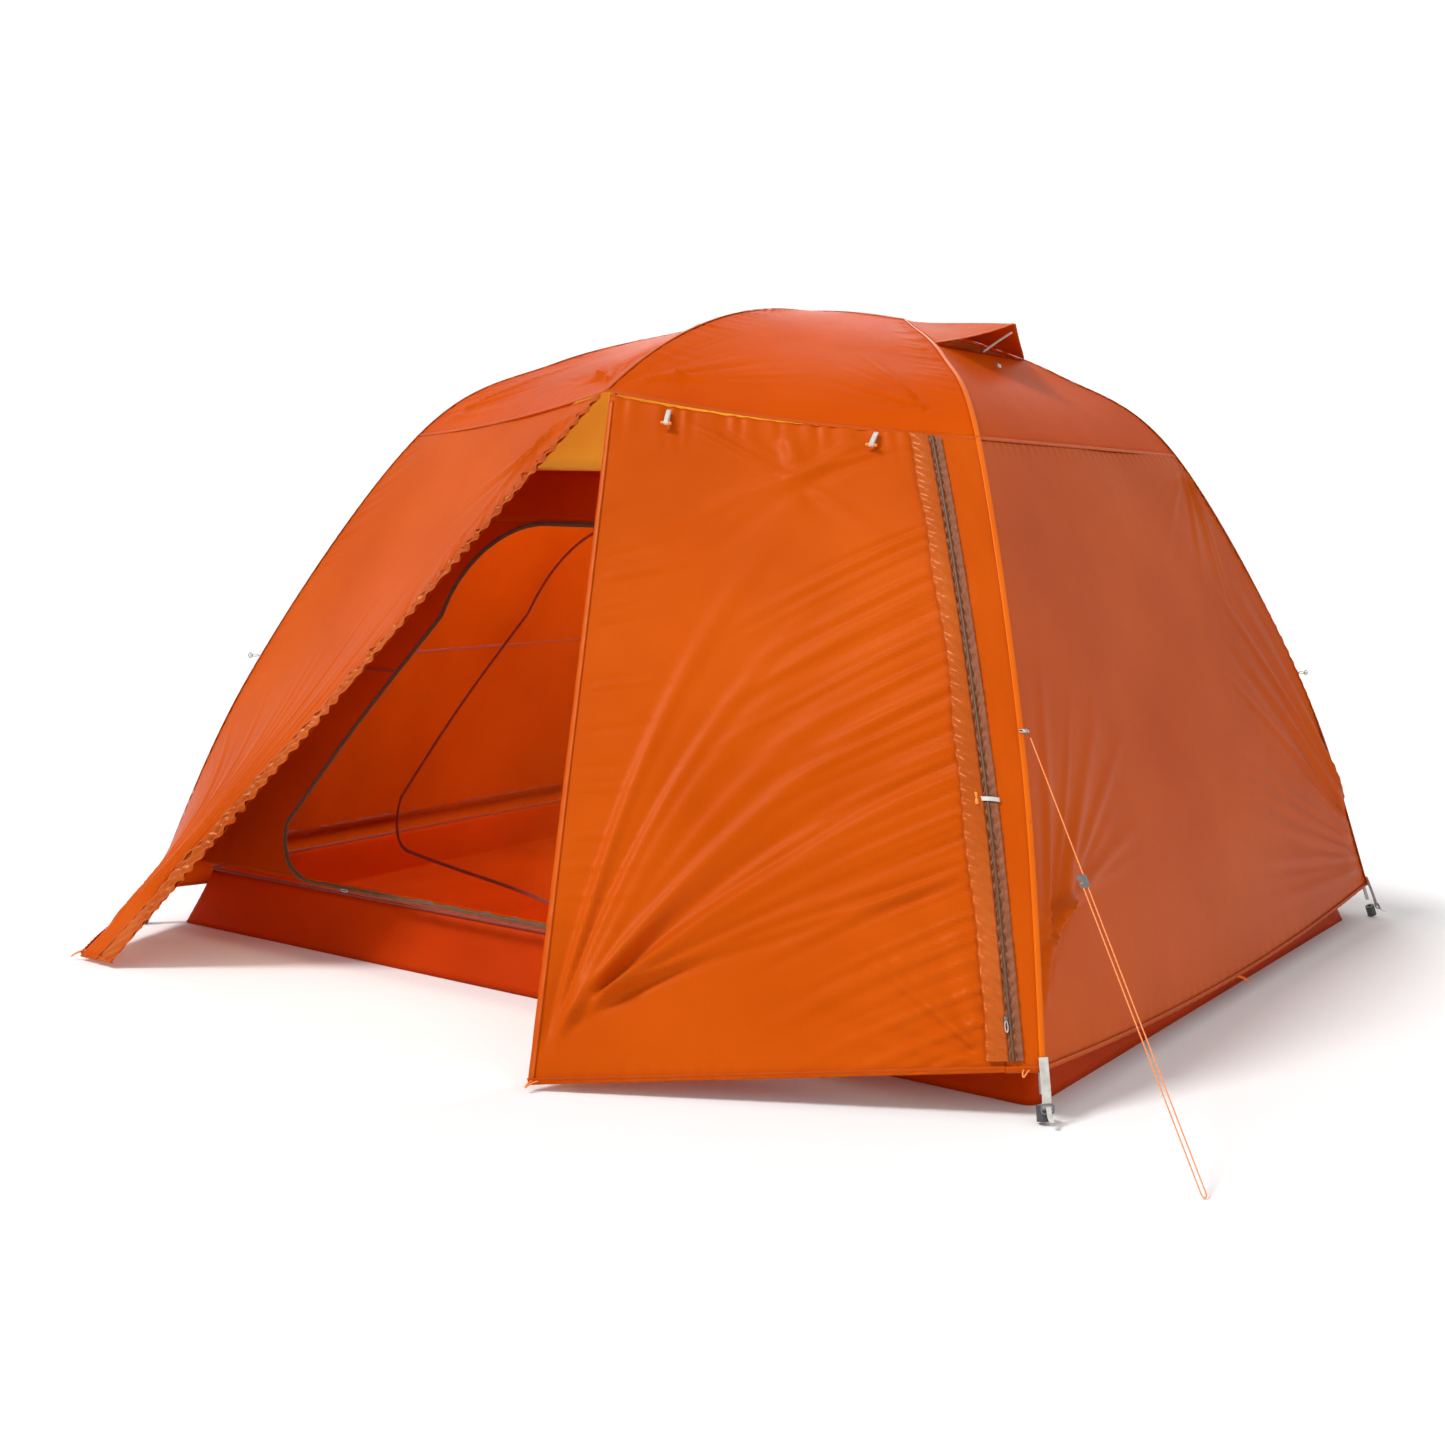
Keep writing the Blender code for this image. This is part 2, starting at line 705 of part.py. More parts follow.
def make_foot(name, end, side, look):
    """The cup that the leg's tip stands in, square to the leg, on a flat pad on the ground."""
    top = leg_pole(end, side, 0.03)
    tip = leg_pole(end, side, 0.0)
    axis = (top - tip).normalized()
    lean = math.sqrt(1 - axis.z**2)
    base = tip + axis * ((CUP_R * lean + 0.0005 - tip.z) / axis.z)
    bore, outer, height, floor = CUP_BORE_R, CUP_R, CUP_HEIGHT, CUP_FLOOR
    profile = ((0.0, floor), (bore, floor), (bore, height), (outer, height), (outer, 0.0), (0.0, 0.0))
    return turned(name, profile, base, axis, look)


def outward_side(end, side):
    return Vector((end * OUTWARD_X, side * OUTWARD_Y, 0.0)).normalized()


def along_side(end, side):
    return Vector((-side * OUTWARD_Y, end * OUTWARD_X, 0.0))


def make_corner(where, end, side, strap_look, foot_look):
    make_foot(f"foot_{where}", end, side, foot_look)
    away = outward_side(end, side) * STRAP_STANDOFF
    top = leg(end, side, STRAP_TOP_T) + away
    foot = leg(end, side, STRAP_FOOT_T) + away
    bar(f"corner_strap_{where}", foot, top, along_side(end, side), STRAP_WIDTH, STRAP_THICK, strap_look)


def make_guyout(where, end, side, look):
    away = outward_side(end, side)
    start = leg(end, side, GUYOUT_T) + away * GUYOUT_GAP
    stop = start + away * GUYOUT_SIZE[1]
    width_way = along_side(end, side)
    return bar(f"guyout_{where}", start, stop, width_way, GUYOUT_SIZE[0], GUYOUT_SIZE[2], look)


# Zip sliders and toggles


def surface_normal(side, v):
    """The outward normal of the right vestibule panels beside the zip."""
    down = zip_line(side, v + 0.02) - zip_line(side, v - 0.02)
    across = leg(RIGHT, side, mix(KNEE_T, HEM_T, v)) - door_edge(side, v)
    normal = down.cross(across).normalized()
    return normal if normal.y * side > 0 else -normal


def make_fly_slider(side_name, side, look):
    normal = surface_normal(side, SLIDER_V)
    beside = leg(RIGHT, side, mix(KNEE_T, HEM_T, SLIDER_V))
    middle = mix(zip_line(side, SLIDER_V), beside, SLIDER_SHARE)
    down = (zip_line(side, SLIDER_V + 0.02) - zip_line(side, SLIDER_V - 0.02)).normalized()
    middle = middle + normal * SLIDER_STANDOFF
    half = down * SLIDER_SIZE[1] / 2
    across = normal.cross(down)
    name = f"{side_name}_fly_zip_slider"
    bar(name, middle - half, middle + half, across, SLIDER_SIZE[0], SLIDER_SIZE[2], look)


def make_inner_slider(side_name, side, look):
    z = DOOR_SILL - INNER_SLIDER_DROP
    out = FABRIC + SLIDER_SIZE[2] / 2 + INNER_SLIDER_GAP
    y = inner_wall_y(side, z - SLIDER_SIZE[0] / 2) + side * out
    middle = Vector((INNER_SLIDER_X, y, z))
    half = Vector((SLIDER_SIZE[1] / 2, 0.0, 0.0))
    up = Vector((0.0, 0.0, 1.0))
    name = f"{side_name}_inner_zip_slider"
    bar(name, middle - half, middle + half, up, SLIDER_SIZE[0], SLIDER_SIZE[2], look)


def inner_wall_y(side, height):
    """Where the inner side wall stands at this height, by halving the span of its heights."""
    low, high = 0.0, INNER_TOP_T
    for _ in range(40):
        middle = (low + high) / 2
        if inner_leg(LEFT, side, middle).z < height:
            low = middle
        else:
            high = middle
    return inner_leg(LEFT, side, low).y


def make_toggle(name, side, place, look):
    top, low = TOGGLE_V, TOGGLE_LEAN_V
    face = mix(door_edge(side, top), zip_line(side, top), place / ZIP_TOP_U)
    down = (mix(door_edge(side, low), zip_line(side, low), place) - face).normalized()
    along = (zip_line(side, top) - door_edge(side, top)).normalized()
    normal = along.cross(down)
    normal = normal if normal.y * side > 0 else -normal
    middle = face + down * TOGGLE_DROP + normal * TOGGLE_STANDOFF
    cylinder(name, middle, along, TOGGLE_R, TOGGLE_LENGTH, look)


# Guyline


def line_route():
    """Down from the guyout, round the staked loop, and back up to the tensioner."""
    run = (LINE_STAKE - LINE_TOP).normalized()
    beside = Vector((run.y, -run.x, 0.0)).normalized() * LINE_SPACING
    length = (LINE_STAKE - LINE_TOP).length
    down = [LINE_TOP + run * s for s in spread(0.0, length, 18)]
    middle = LINE_STAKE + beside / 2
    turn = []
    for i in range(1, 8):
        angle = math.pi * i / 8
        outward = run * LINE_SPACING * LINE_TURN * math.sin(angle)
        turn.append(middle - beside / 2 * math.cos(angle) + outward)
    for point in turn:
        point.z = max(point.z, LINE_R + LINE_GROUND_GAP)
    back = [point + beside for point in reversed(down) if (point - LINE_TOP).length > LINE_DOUBLE_FROM]
    return down + turn + back


def make_guyline(line_look, tensioner_look):
    route = line_route()
    tube("guyline", route, LINE_R, line_look)
    run = (LINE_STAKE - LINE_TOP).normalized()
    beside = Vector((run.y, -run.x, 0.0)).normalized()
    middle = LINE_TOP + run * TENSIONER_AT + beside * LINE_SPACING / 2
    half = run * TENSIONER_SIZE[2] / 2
    width, thick = TENSIONER_SIZE[:2]
    block = bar("guyline_tensioner", middle - half, middle + half, beside, width, thick, tensioner_look)
    for i, shift in enumerate((-0.5, 0.5)):
        centre = middle + beside * LINE_SPACING * shift
        reach = run * TENSIONER_SIZE[2]
        rod = cutter_rod(f"tensioner_bore_{i}", [centre - reach, centre + reach], TENSIONER_BORE_R)
        boolean(block, rod, "DIFFERENCE")


clear_scene()
PARTS = collection("tent on poles")
CUTTERS = collection("cutters")
CUTTER_LOOK = material("cutter", (0.5, 0.5, 0.5), 0.5)


def main():
    pole = material("pole aluminium", (0.62, 0.63, 0.64), 0.30, 1.0)
    plastic = material("grey plastic", (0.22, 0.22, 0.23), 0.45)
    orange = material("fly orange", (0.66, 0.12, 0.01), 0.42)
    rust = material("fly rust", (0.58, 0.14, 0.05), 0.42)
    solid = material("inner orange", (0.45, 0.05, 0.01), 0.55)
    netting = material("netting", (0.72, 0.30, 0.10), 0.70)
    webbing = material("webbing", (0.62, 0.59, 0.53), 0.80)
    bright = material("bright orange plastic", (1.0, 0.35, 0.07), 0.50)
    cord = material("guyline orange", (1.0, 0.28, 0.05), 0.75)
    make_poles(pole, plastic)
    make_fly(orange, rust, rust)
    make_inner(solid, netting, solid)
    make_vent(orange, netting, webbing)
    for end_name, end in ENDS.items():
        for side_name, side in SIDES.items():
            where = f"{side_name}_{end_name}"
            make_corner(where, end, side, webbing, plastic)
            make_guyout(where, end, side, webbing)
    for side_name, side in SIDES.items():
        make_fly_slider(side_name, side, plastic)
        make_inner_slider(side_name, side, plastic)
        for i, place in enumerate(TOGGLE_PLACES, 1):
            make_toggle(f"{side_name}_toggle_{i}", side, place, bright)
    make_guyline(cord, plastic)


main()
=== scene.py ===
"""Looks of the hubbed pole dome tent: cloth panels, seams, zips, netting, cords, hardware and light.

Metres, +Z up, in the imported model's frame. -Y is the near side, whose vestibule stands open.
"""

import math
import random

import bmesh
import bpy
from mathutils import Matrix, Vector, noise


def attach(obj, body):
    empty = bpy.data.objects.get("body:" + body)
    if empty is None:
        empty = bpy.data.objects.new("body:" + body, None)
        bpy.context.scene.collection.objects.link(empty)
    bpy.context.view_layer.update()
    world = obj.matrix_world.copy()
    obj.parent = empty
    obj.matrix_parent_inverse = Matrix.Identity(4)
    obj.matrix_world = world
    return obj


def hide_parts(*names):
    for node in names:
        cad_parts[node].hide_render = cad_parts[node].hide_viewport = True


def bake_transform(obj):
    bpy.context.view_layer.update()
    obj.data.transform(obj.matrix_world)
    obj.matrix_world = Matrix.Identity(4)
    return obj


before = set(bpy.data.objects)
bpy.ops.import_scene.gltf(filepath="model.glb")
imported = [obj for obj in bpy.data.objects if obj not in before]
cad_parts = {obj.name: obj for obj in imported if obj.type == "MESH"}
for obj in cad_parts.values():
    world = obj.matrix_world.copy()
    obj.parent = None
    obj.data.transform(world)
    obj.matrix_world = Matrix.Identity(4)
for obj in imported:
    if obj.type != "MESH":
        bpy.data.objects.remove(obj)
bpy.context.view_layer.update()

NEAR, FAR = -1, 1
LEFT, RIGHT = -1, 1
SIDES = {"near": NEAR, "far": FAR}
ENDS = {"left": LEFT, "right": RIGHT}
CORNERS = [(f"{side}_{end}", ENDS[end], SIDES[side]) for end in ENDS for side in SIDES]
UP = Vector((0.0, 0.0, 1.0))

# The tent's design lines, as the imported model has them
FOOT = Vector((1.300, 1.160, 0.0))
LEG_LOW = Vector((1.120, 0.938, 0.655))
KNEE = Vector((0.825, 0.605, 1.305))
LEG_HIGH = Vector((0.585, 0.325, 1.510))
HUB = Vector((0.305, 0.0, 1.630))
PEAK_Z = 1.660
BROW_REACH = 0.865
BROW_END_Z = 1.400
KNEE_T = 0.5
HEM_T = 0.036
VENT_T = 0.800
POLE_CORE = Vector((0.0, 0.0, 0.60))
END_SAG = 0.020
SEAM_DROP = 0.015
HEM_DIP = 0.045
APEX_GAP = 0.012
DOOR_CORNER = Vector((0.400, 1.600, 0.012))
FLAP_CORNER = Vector((-0.980, 1.500, 0.012))
FLAP_TIP = Vector((-1.095, 1.500, 0.010))
FLAP_TIP_U = 0.78
ZIP_TOP_U, ZIP_FOOT_U = 0.860, 0.930
INNER_INSET = 0.075
INNER_TOP_T, INNER_FOOT_T = 0.475, 0.062
DOOR_LEFT, DOOR_RIGHT = -0.885, 0.420
DOOR_SILL, DOOR_TOP = 0.172, 1.085
DOOR_TOP_LEFT = -0.560
DOOR_LOW_R, DOOR_HIGH_R = 0.130, 0.240
CLOTH, THIN_CLOTH = 0.0007, 0.0005


# The bodies that cloth rides on
TENT, NEAR_AWNING, FAR_AWNING = "tent", "near_awning", "far_awning"
AWNINGS = {NEAR: NEAR_AWNING, FAR: FAR_AWNING}


# Design lines


def smooth_path(points, t):
    """The point at t, from 0 to 1, on a Catmull-Rom curve through the points."""
    ends = [2 * points[0] - points[1], *points, 2 * points[-1] - points[-2]]
    spans = len(points) - 1
    span = min(int(t * spans), spans - 1)
    w = t * spans - span
    p0, p1, p2, p3 = ends[span : span + 4]
    return 0.5 * (
        2 * p1
        + (p2 - p0) * w
        + (2 * p0 - 5 * p1 + 4 * p2 - p3) * w * w
        + (3 * p1 - p0 - 3 * p2 + p3) * w**3
    )


def mix(a, b, t):
    return a + (b - a) * t


def clamp(x, low=0.0, high=1.0):
    return max(low, min(high, x))


def ease(x):
    x = clamp(x)
    return x * x * (3 - 2 * x)


def spread(start, stop, count):
    return [start + (stop - start) * i / (count - 1) for i in range(count)]


def mirrored(point, end, side):
    return Vector((point.x * end, point.y * side, point.z))


def leg(end, side, t):
    return mirrored(smooth_path((FOOT, LEG_LOW, KNEE, LEG_HIGH, HUB), t), end, side)


def brow(side, t):
    drop = PEAK_Z - BROW_END_Z
    radius = (BROW_REACH**2 + drop**2) / (2 * drop)
    y = BROW_REACH * t
    return Vector((0.0, side * y, PEAK_Z - radius + math.sqrt(radius**2 - y**2)))


def ridge(t):
    x = HUB.x * (2 * t - 1)
    return Vector((x, 0.0, HUB.z + (PEAK_Z - HUB.z) * (1 - (x / HUB.x) ** 2)))


def inward(point, depth):
    return point + (POLE_CORE - point).normalized() * depth


def seam(end, side, t):
    point = mix(brow(side, 1.0), leg(end, side, KNEE_T), t)
    point.z -= SEAM_DROP * 4 * t * (1 - t)
    return point


def cap_front(end, side, u, v):
    left, right = brow(side, v), leg(end, side, 1 - (1 - KNEE_T) * v)
    top, bottom = ridge(0.5 + 0.5 * end * u), seam(end, side, u)
    upper = mix(brow(side, 0), leg(end, side, 1), u)
    lower = mix(brow(side, 1), leg(end, side, KNEE_T), u)
    return mix(left, right, u) + mix(top, bottom, v) - mix(upper, lower, v)


def cap_end(end, top_t, u, v):
    t = mix(top_t, KNEE_T, v)
    return mix(leg(end, NEAR, t), leg(end, FAR, t), u)


def panel_t(v):
    return mix(KNEE_T - 0.001, HEM_T, v)


def end_panel(end, u, v):
    t = panel_t(v)
    point = mix(leg(end, NEAR, t), leg(end, FAR, t), u)
    point.x -= end * END_SAG * 4 * u * (1 - u) * math.sin(math.pi * v)
    point.z -= HEM_DIP * v**4 * 4 * u * (1 - u)
    return point


def apex(side, shift):
    return brow(side, 1.0) + Vector((shift, side * 0.001, -0.010))


def side_point(point, side):
    return Vector((point.x, point.y * side, point.z))


def flap_edge(side, v):
    return mix(apex(side, -APEX_GAP), side_point(FLAP_CORNER, side), v)


def door_edge(side, v):
    return mix(apex(side, APEX_GAP), side_point(DOOR_CORNER, side), v)


def vestibule_left(side, u, v):
    point = mix(leg(LEFT, side, panel_t(v)), flap_edge(side, v), u)
    hem = mix(leg(LEFT, side, HEM_T), flap_edge(side, 1.0), u)
    tip = side_point(FLAP_TIP, side)
    if u < FLAP_TIP_U:
        cut = mix(leg(LEFT, side, HEM_T), tip, u / FLAP_TIP_U)
    else:
        cut = mix(tip, flap_edge(side, 1.0), (u - FLAP_TIP_U) / (1 - FLAP_TIP_U))
    point += (cut - hem) * v**3
    point.z -= SEAM_DROP * 4 * u * (1 - u) * (1 - v) ** 4
    return point


def zip_line(side, v):
    share = mix(ZIP_TOP_U, ZIP_FOOT_U, v)
    return mix(door_edge(side, v), leg(RIGHT, side, panel_t(v)), share)


def door_panel(side, u, v):
    point = mix(door_edge(side, v), zip_line(side, v), u)
    point.z -= SEAM_DROP * 4 * u * (1 - u) * (1 - v) ** 4
    return point


def zip_strip(side, u, v):
    return mix(zip_line(side, v), leg(RIGHT, side, panel_t(v)), u)


def middle_panel(side, u, v):
    return mix(flap_edge(side, v), door_edge(side, v), u)


def inner_leg(end, side, t):
    return inward(leg(end, side, t), INNER_INSET)


# Mesh makers


def link(obj):
    bpy.context.scene.collection.objects.link(obj)
    return obj


def finish_piece(obj, look, body, replaces=()):
    obj.data.materials.clear()
    obj.data.materials.append(look)
    if body:
        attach(obj, body)
    if replaces:
        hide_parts(*replaces)
    return obj


def mesh_of(name, bm):
    mesh = bpy.data.meshes.new(name)
    bm.to_mesh(mesh)
    bm.free()
    mesh.shade_smooth()
    return mesh


def smooth_object(name, bm):
    return link(bpy.data.objects.new(name, mesh_of(name, bm)))


def run_lengths(points):
    """How far along the points each one lies."""
    lengths = [0.0]
    for a, b in zip(points, points[1:]):
        lengths.append(lengths[-1] + (b - a).length)
    return lengths


def through(points):
    """A function of t, from 0 to 1, that runs straight from point to point."""

    def line(t):
        place = t * (len(points) - 1)
        i = min(int(place), len(points) - 2)
        return mix(points[i], points[i + 1], place - i)

    return line


def skin(bm, layer, rows, uv):
    """Quads between neighbouring rows of points, with uv(row, column) at each corner, in metres."""
    made = []
    for i, (first, second) in enumerate(zip(rows, rows[1:])):
        for k in range(len(first) - 1):
            face = bm.faces.new((first[k], first[k + 1], second[k + 1], second[k]))
            for loop, corner in zip(face.loops, ((i, k), (i, k + 1), (i + 1, k + 1), (i + 1, k))):
                loop[layer].uv = uv(*corner)
            made.append(face)
    return made


def capped_loft(bm, rings):
    """A closed body through rings of equally many points."""
    for first, second in zip(rings, rings[1:]):
        for k in range(len(first)):
            n = (k + 1) % len(first)
            bm.faces.new((first[k], first[n], second[n], second[k]))
    bm.faces.new(list(reversed(rings[0])))
    bm.faces.new(rings[-1])
    bmesh.ops.recalc_face_normals(bm, faces=bm.faces)


def grid_mesh(name, surface, across, down, size):
    """A fine grid bent onto surface(u, v), with UVs in metres of cloth."""
    bm = bmesh.new()
    made = bmesh.ops.create_grid(bm, x_segments=across, y_segments=down, size=0.5, calc_uvs=True)
    layer = bm.loops.layers.uv.verify()
    for face in bm.faces:
        for loop in face.loops:
            loop[layer].uv = ((loop.vert.co.x + 0.5) * size[0], (loop.vert.co.y + 0.5) * size[1])
    for vert in made["verts"]:
        vert.co = surface(vert.co.x + 0.5, vert.co.y + 0.5)
    return mesh_of(name, bm)


def face_outwards(mesh):
    """Turns every face away from the tent's middle."""
    bm = bmesh.new()
    bm.from_mesh(mesh)
    bmesh.ops.recalc_face_normals(bm, faces=bm.faces)
    if sum(face.normal.dot(face.calc_center_median() - POLE_CORE) for face in bm.faces) < 0:
        bmesh.ops.reverse_faces(bm, faces=bm.faces)
    bm.to_mesh(mesh)
    bm.free()
    mesh.shade_smooth()


def thicken(obj, thickness=CLOTH):
    shell = obj.modifiers.new("thickness", "SOLIDIFY")
    shell.thickness = thickness
    shell.offset = 0.0
    shell.use_even_offset = False
    return obj


def cloth_piece(name, surface, across, down, size, look, body, replaces=(), thickness=CLOTH):
    mesh = grid_mesh(name, surface, across, down, size)
    face_outwards(mesh)
    obj = thicken(link(bpy.data.objects.new(name, mesh)), thickness)
    return finish_piece(obj, look, body, replaces)


def fly_panel(name, base, height, across, down, flat_width, look, body, replaced):
    """A panel of the fly. Its stated area is that of its design surface, without the folds."""
    width, drop = flat_size(base)
    flat_width = flat_width(width) if callable(flat_width) else flat_width
    surface = relief(base, height)
    obj = cloth_piece(name, surface, across, down, (width, drop), look, body, [replaced])


def flat_size(surface, steps=24):
    """The cloth's mean width and height, measured along the surface."""
    across, down = [], []
    for i in range(steps + 1):
        a = i / steps
        across.append(sum((surface((k + 1) / steps, a) - surface(k / steps, a)).length for k in range(steps)))
        down.append(sum((surface(a, (k + 1) / steps) - surface(a, k / steps)).length for k in range(steps)))
    return sum(across) / len(across), sum(down) / len(down)


def normal_at(surface, u, v, step=0.01):
    along = surface(min(u + step, 1), v) - surface(max(u - step, 0), v)
    down = surface(u, min(v + step, 1)) - surface(u, max(v - step, 0))
    normal = along.cross(down)
    if normal.length < 1e-9:
        return (surface(u, v) - POLE_CORE).normalized()
    normal.normalize()
    return normal if normal.dot(surface(u, v) - POLE_CORE) > 0 else -normal


# Materials


def new_material(name):
    made = bpy.data.materials.new(name)
    made.use_nodes = True
    tree = made.node_tree
    return made, tree, tree.nodes["Principled BSDF"]


def node(tree, kind, **settings):
    made = tree.nodes.new(kind)
    for key, value in settings.items():
        if key in made.inputs:
            made.inputs[key].default_value = value
        else:
            setattr(made, key, value)
    return made


def ramp(tree, source, low, high, low_at=0.0, high_at=1.0):
    made = tree.nodes.new("ShaderNodeValToRGB")
    made.color_ramp.elements[0].position = low_at
    made.color_ramp.elements[0].color = (*low, 1.0)
    made.color_ramp.elements[1].position = high_at
    made.color_ramp.elements[1].color = (*high, 1.0)
    tree.links.new(source, made.inputs["Fac"])
    return made


def maths(tree, operation, source, amount):
    """A Math node on a socket and a number or second socket."""
    made = node(tree, "ShaderNodeMath", operation=operation)
    tree.links.new(source, made.inputs[0])
    if isinstance(amount, float):
        made.inputs[1].default_value = amount
    else:
        tree.links.new(amount, made.inputs[1])
    return made.outputs[0]


def noise_over(tree, place, **settings):
    made = node(tree, "ShaderNodeTexNoise", **settings)
    tree.links.new(place.outputs["Object"], made.inputs["Vector"])
    return made.outputs["Fac"]


def spread_out(tree, source, least, most):
    """The source, from 0 to 1, spread from least to most."""
    made = node(tree, "ShaderNodeMapRange")
    made.inputs["To Min"].default_value = least
    made.inputs["To Max"].default_value = most
    tree.links.new(source, made.inputs["Value"])
    return made.outputs["Result"]


def bumped(tree, shader, source, strength, distance, under=None):
    bump = node(tree, "ShaderNodeBump", Strength=strength, Distance=distance)
    tree.links.new(source, bump.inputs["Height"])
    if under:
        tree.links.new(under.outputs["Normal"], bump.inputs["Normal"])
    tree.links.new(bump.outputs["Normal"], shader.inputs["Normal"])
    return bump


def tinted(tree, shader, source, color, dark, light, low_at=0.3, high_at=0.7):
    """The shader's colour, drifting with the source between a darker and a lighter shade."""
    low, high = (tuple(min(1.0, share * part) for part in color) for share in (dark, light))
    tint = ramp(tree, source, low, high, low_at, high_at).outputs["Color"]
    tree.links.new(tint, shader.inputs["Base Color"])
    return tint


def mixed(tree, amount, first, second):
    made = node(tree, "ShaderNodeMixShader")
    if isinstance(amount, float):
        made.inputs["Fac"].default_value = amount
    else:
        tree.links.new(amount, made.inputs["Fac"])
    tree.links.new(first, made.inputs[1])
    tree.links.new(second, made.inputs[2])
    return made.outputs["Shader"]


THREAD_SHARE = 0.07


def ripstop_height(tree, place, pitch):
    """The raised threads of ripstop cloth: a fine square grid over the plain weave, from UVs in metres."""
    split = node(tree, "ShaderNodeSeparateXYZ")
    tree.links.new(place.outputs["UV"], split.inputs[0])
    lines = []
    for axis in ("X", "Y"):
        saw = maths(tree, "PINGPONG", maths(tree, "MULTIPLY", split.outputs[axis], 1 / pitch), 0.5)
        lines.append(maths(tree, "LESS_THAN", saw, THREAD_SHARE))
    return maths(tree, "MAXIMUM", *lines)


RIPSTOP_PITCH = 0.006


def coated_cloth(name, low, high, roughness=0.40, glow=0.48, gloss=0.28):
    """Thin coated ripstop: satin, lit through from behind, its colour drifting a little over a panel."""
    made, tree, shader = new_material(name)
    place = node(tree, "ShaderNodeTexCoord")
    cloud = noise_over(tree, place, Scale=2.2, Detail=3.0, Roughness=0.55)
    threads = ripstop_height(tree, place, RIPSTOP_PITCH)
    shade = node(tree, "ShaderNodeMix", data_type="RGBA", blend_type="MULTIPLY")
    tree.links.new(maths(tree, "MULTIPLY", threads, 0.10), shade.inputs["Factor"])
    tree.links.new(ramp(tree, cloud, low, high, 0.32, 0.68).outputs["Color"], shade.inputs["A"])
    shade.inputs["B"].default_value = (0.55, 0.50, 0.50, 1.0)
    tree.links.new(shade.outputs["Result"], shader.inputs["Base Color"])
    fine = noise_over(tree, place, Scale=55.0, Detail=4.0, Roughness=0.6)
    tree.links.new(spread_out(tree, fine, roughness - 0.06, roughness + 0.08), shader.inputs["Roughness"])
    grid = bumped(tree, shader, threads, 0.22, 0.0004)
    crumple = noise_over(tree, place, Scale=16.0, Detail=5.0, Roughness=0.55, Distortion=0.8)
    soft = bumped(tree, shader, crumple, 0.30, 0.0022, under=grid)
    shader.inputs["Specular Tint"].default_value = (1.0, 0.50, 0.28, 1.0)
    shader.inputs["Specular IOR Level"].default_value = gloss
    through = node(tree, "ShaderNodeBsdfTranslucent")
    tree.links.new(shade.outputs["Result"], through.inputs["Color"])
    tree.links.new(soft.outputs["Normal"], through.inputs["Normal"])
    blend = mixed(tree, glow, shader.outputs["BSDF"], through.outputs["BSDF"])
    tree.links.new(blend, tree.nodes["Material Output"].inputs["Surface"])
    return made


BRAID_PITCH = NETTING_PITCH = RIB_PITCH = 0.0016


def cord_look(name, low, high):
    """Braided cord: two crossing strands, matt, with a flecked colour."""
    made, tree, shader = new_material(name)
    place = node(tree, "ShaderNodeTexCoord")
    braid = node(tree, "ShaderNodeTexWave", Scale=1 / BRAID_PITCH / 6, Distortion=2.0, Detail=2.0)
    braid.wave_type = "BANDS"
    braid.bands_direction = "DIAGONAL"
    tree.links.new(place.outputs["Object"], braid.inputs["Vector"])
    tint = ramp(tree, braid.outputs["Fac"], low, high, 0.25, 0.75)
    tree.links.new(tint.outputs["Color"], shader.inputs["Base Color"])
    bumped(tree, shader, braid.outputs["Fac"], 0.6, 0.0003)
    shader.inputs["Roughness"].default_value = 0.75
    shader.inputs["Sheen Weight"].default_value = 0.3
    return made


def plastic_look(name, color, roughness=0.42):
    """Moulded nylon: faint grain and slightly uneven gloss."""
    made, tree, shader = new_material(name)
    place = node(tree, "ShaderNodeTexCoord")
    cloud = noise_over(tree, place, Scale=140.0, Detail=4.0)
    tinted(tree, shader, cloud, color, 0.86, 1.12, 0.35, 0.65)
    tree.links.new(spread_out(tree, cloud, roughness - 0.07, roughness + 0.09), shader.inputs["Roughness"])
    bumped(tree, shader, noise_over(tree, place, Scale=1400.0, Detail=2.0), 0.12, 0.0002)
    return made


def metal_look(name):
    """Anodised aluminium tube: a fine grain and a faint unevenness in the finish."""
    made, tree, shader = new_material(name)
    place = node(tree, "ShaderNodeTexCoord")
    cloud = noise_over(tree, place, Scale=40.0, Detail=4.0, Roughness=0.6)
    tinted(tree, shader, cloud, (0.62, 0.63, 0.65), 0.88, 1.1)
    tree.links.new(spread_out(tree, cloud, 0.22, 0.40), shader.inputs["Roughness"])
    bumped(tree, shader, noise_over(tree, place, Scale=900.0, Detail=3.0), 0.10, 0.0001)
    shader.inputs["Metallic"].default_value = 1.0
    return made


def netting_look(name, color, cover, thread_cover=0.35):
    """Fine knitted netting: threads on a small square grid, open between them."""
    made, tree, shader = new_material(name)
    place = node(tree, "ShaderNodeTexCoord")
    tint = tinted(tree, shader, noise_over(tree, place, Scale=3.0, Detail=2.0), color, 0.9, 1.1)
    shader.inputs["Roughness"].default_value = 0.70
    shader.inputs["Specular IOR Level"].default_value = 0.2
    through = node(tree, "ShaderNodeBsdfTranslucent")
    tree.links.new(tint, through.inputs["Color"])
    thread = mixed(tree, 0.5, shader.outputs["BSDF"], through.outputs["BSDF"])
    holes = node(tree, "ShaderNodeBsdfTransparent")
    holes.inputs["Color"].default_value = (1.0, 0.96, 0.92, 1.0)
    grid = ripstop_height(tree, place, NETTING_PITCH)
    amount = spread_out(tree, grid, cover * 0.8, min(1.0, cover + thread_cover))
    blend = mixed(tree, amount, holes.outputs["BSDF"], thread)
    tree.links.new(blend, tree.nodes["Material Output"].inputs["Surface"])
    return made


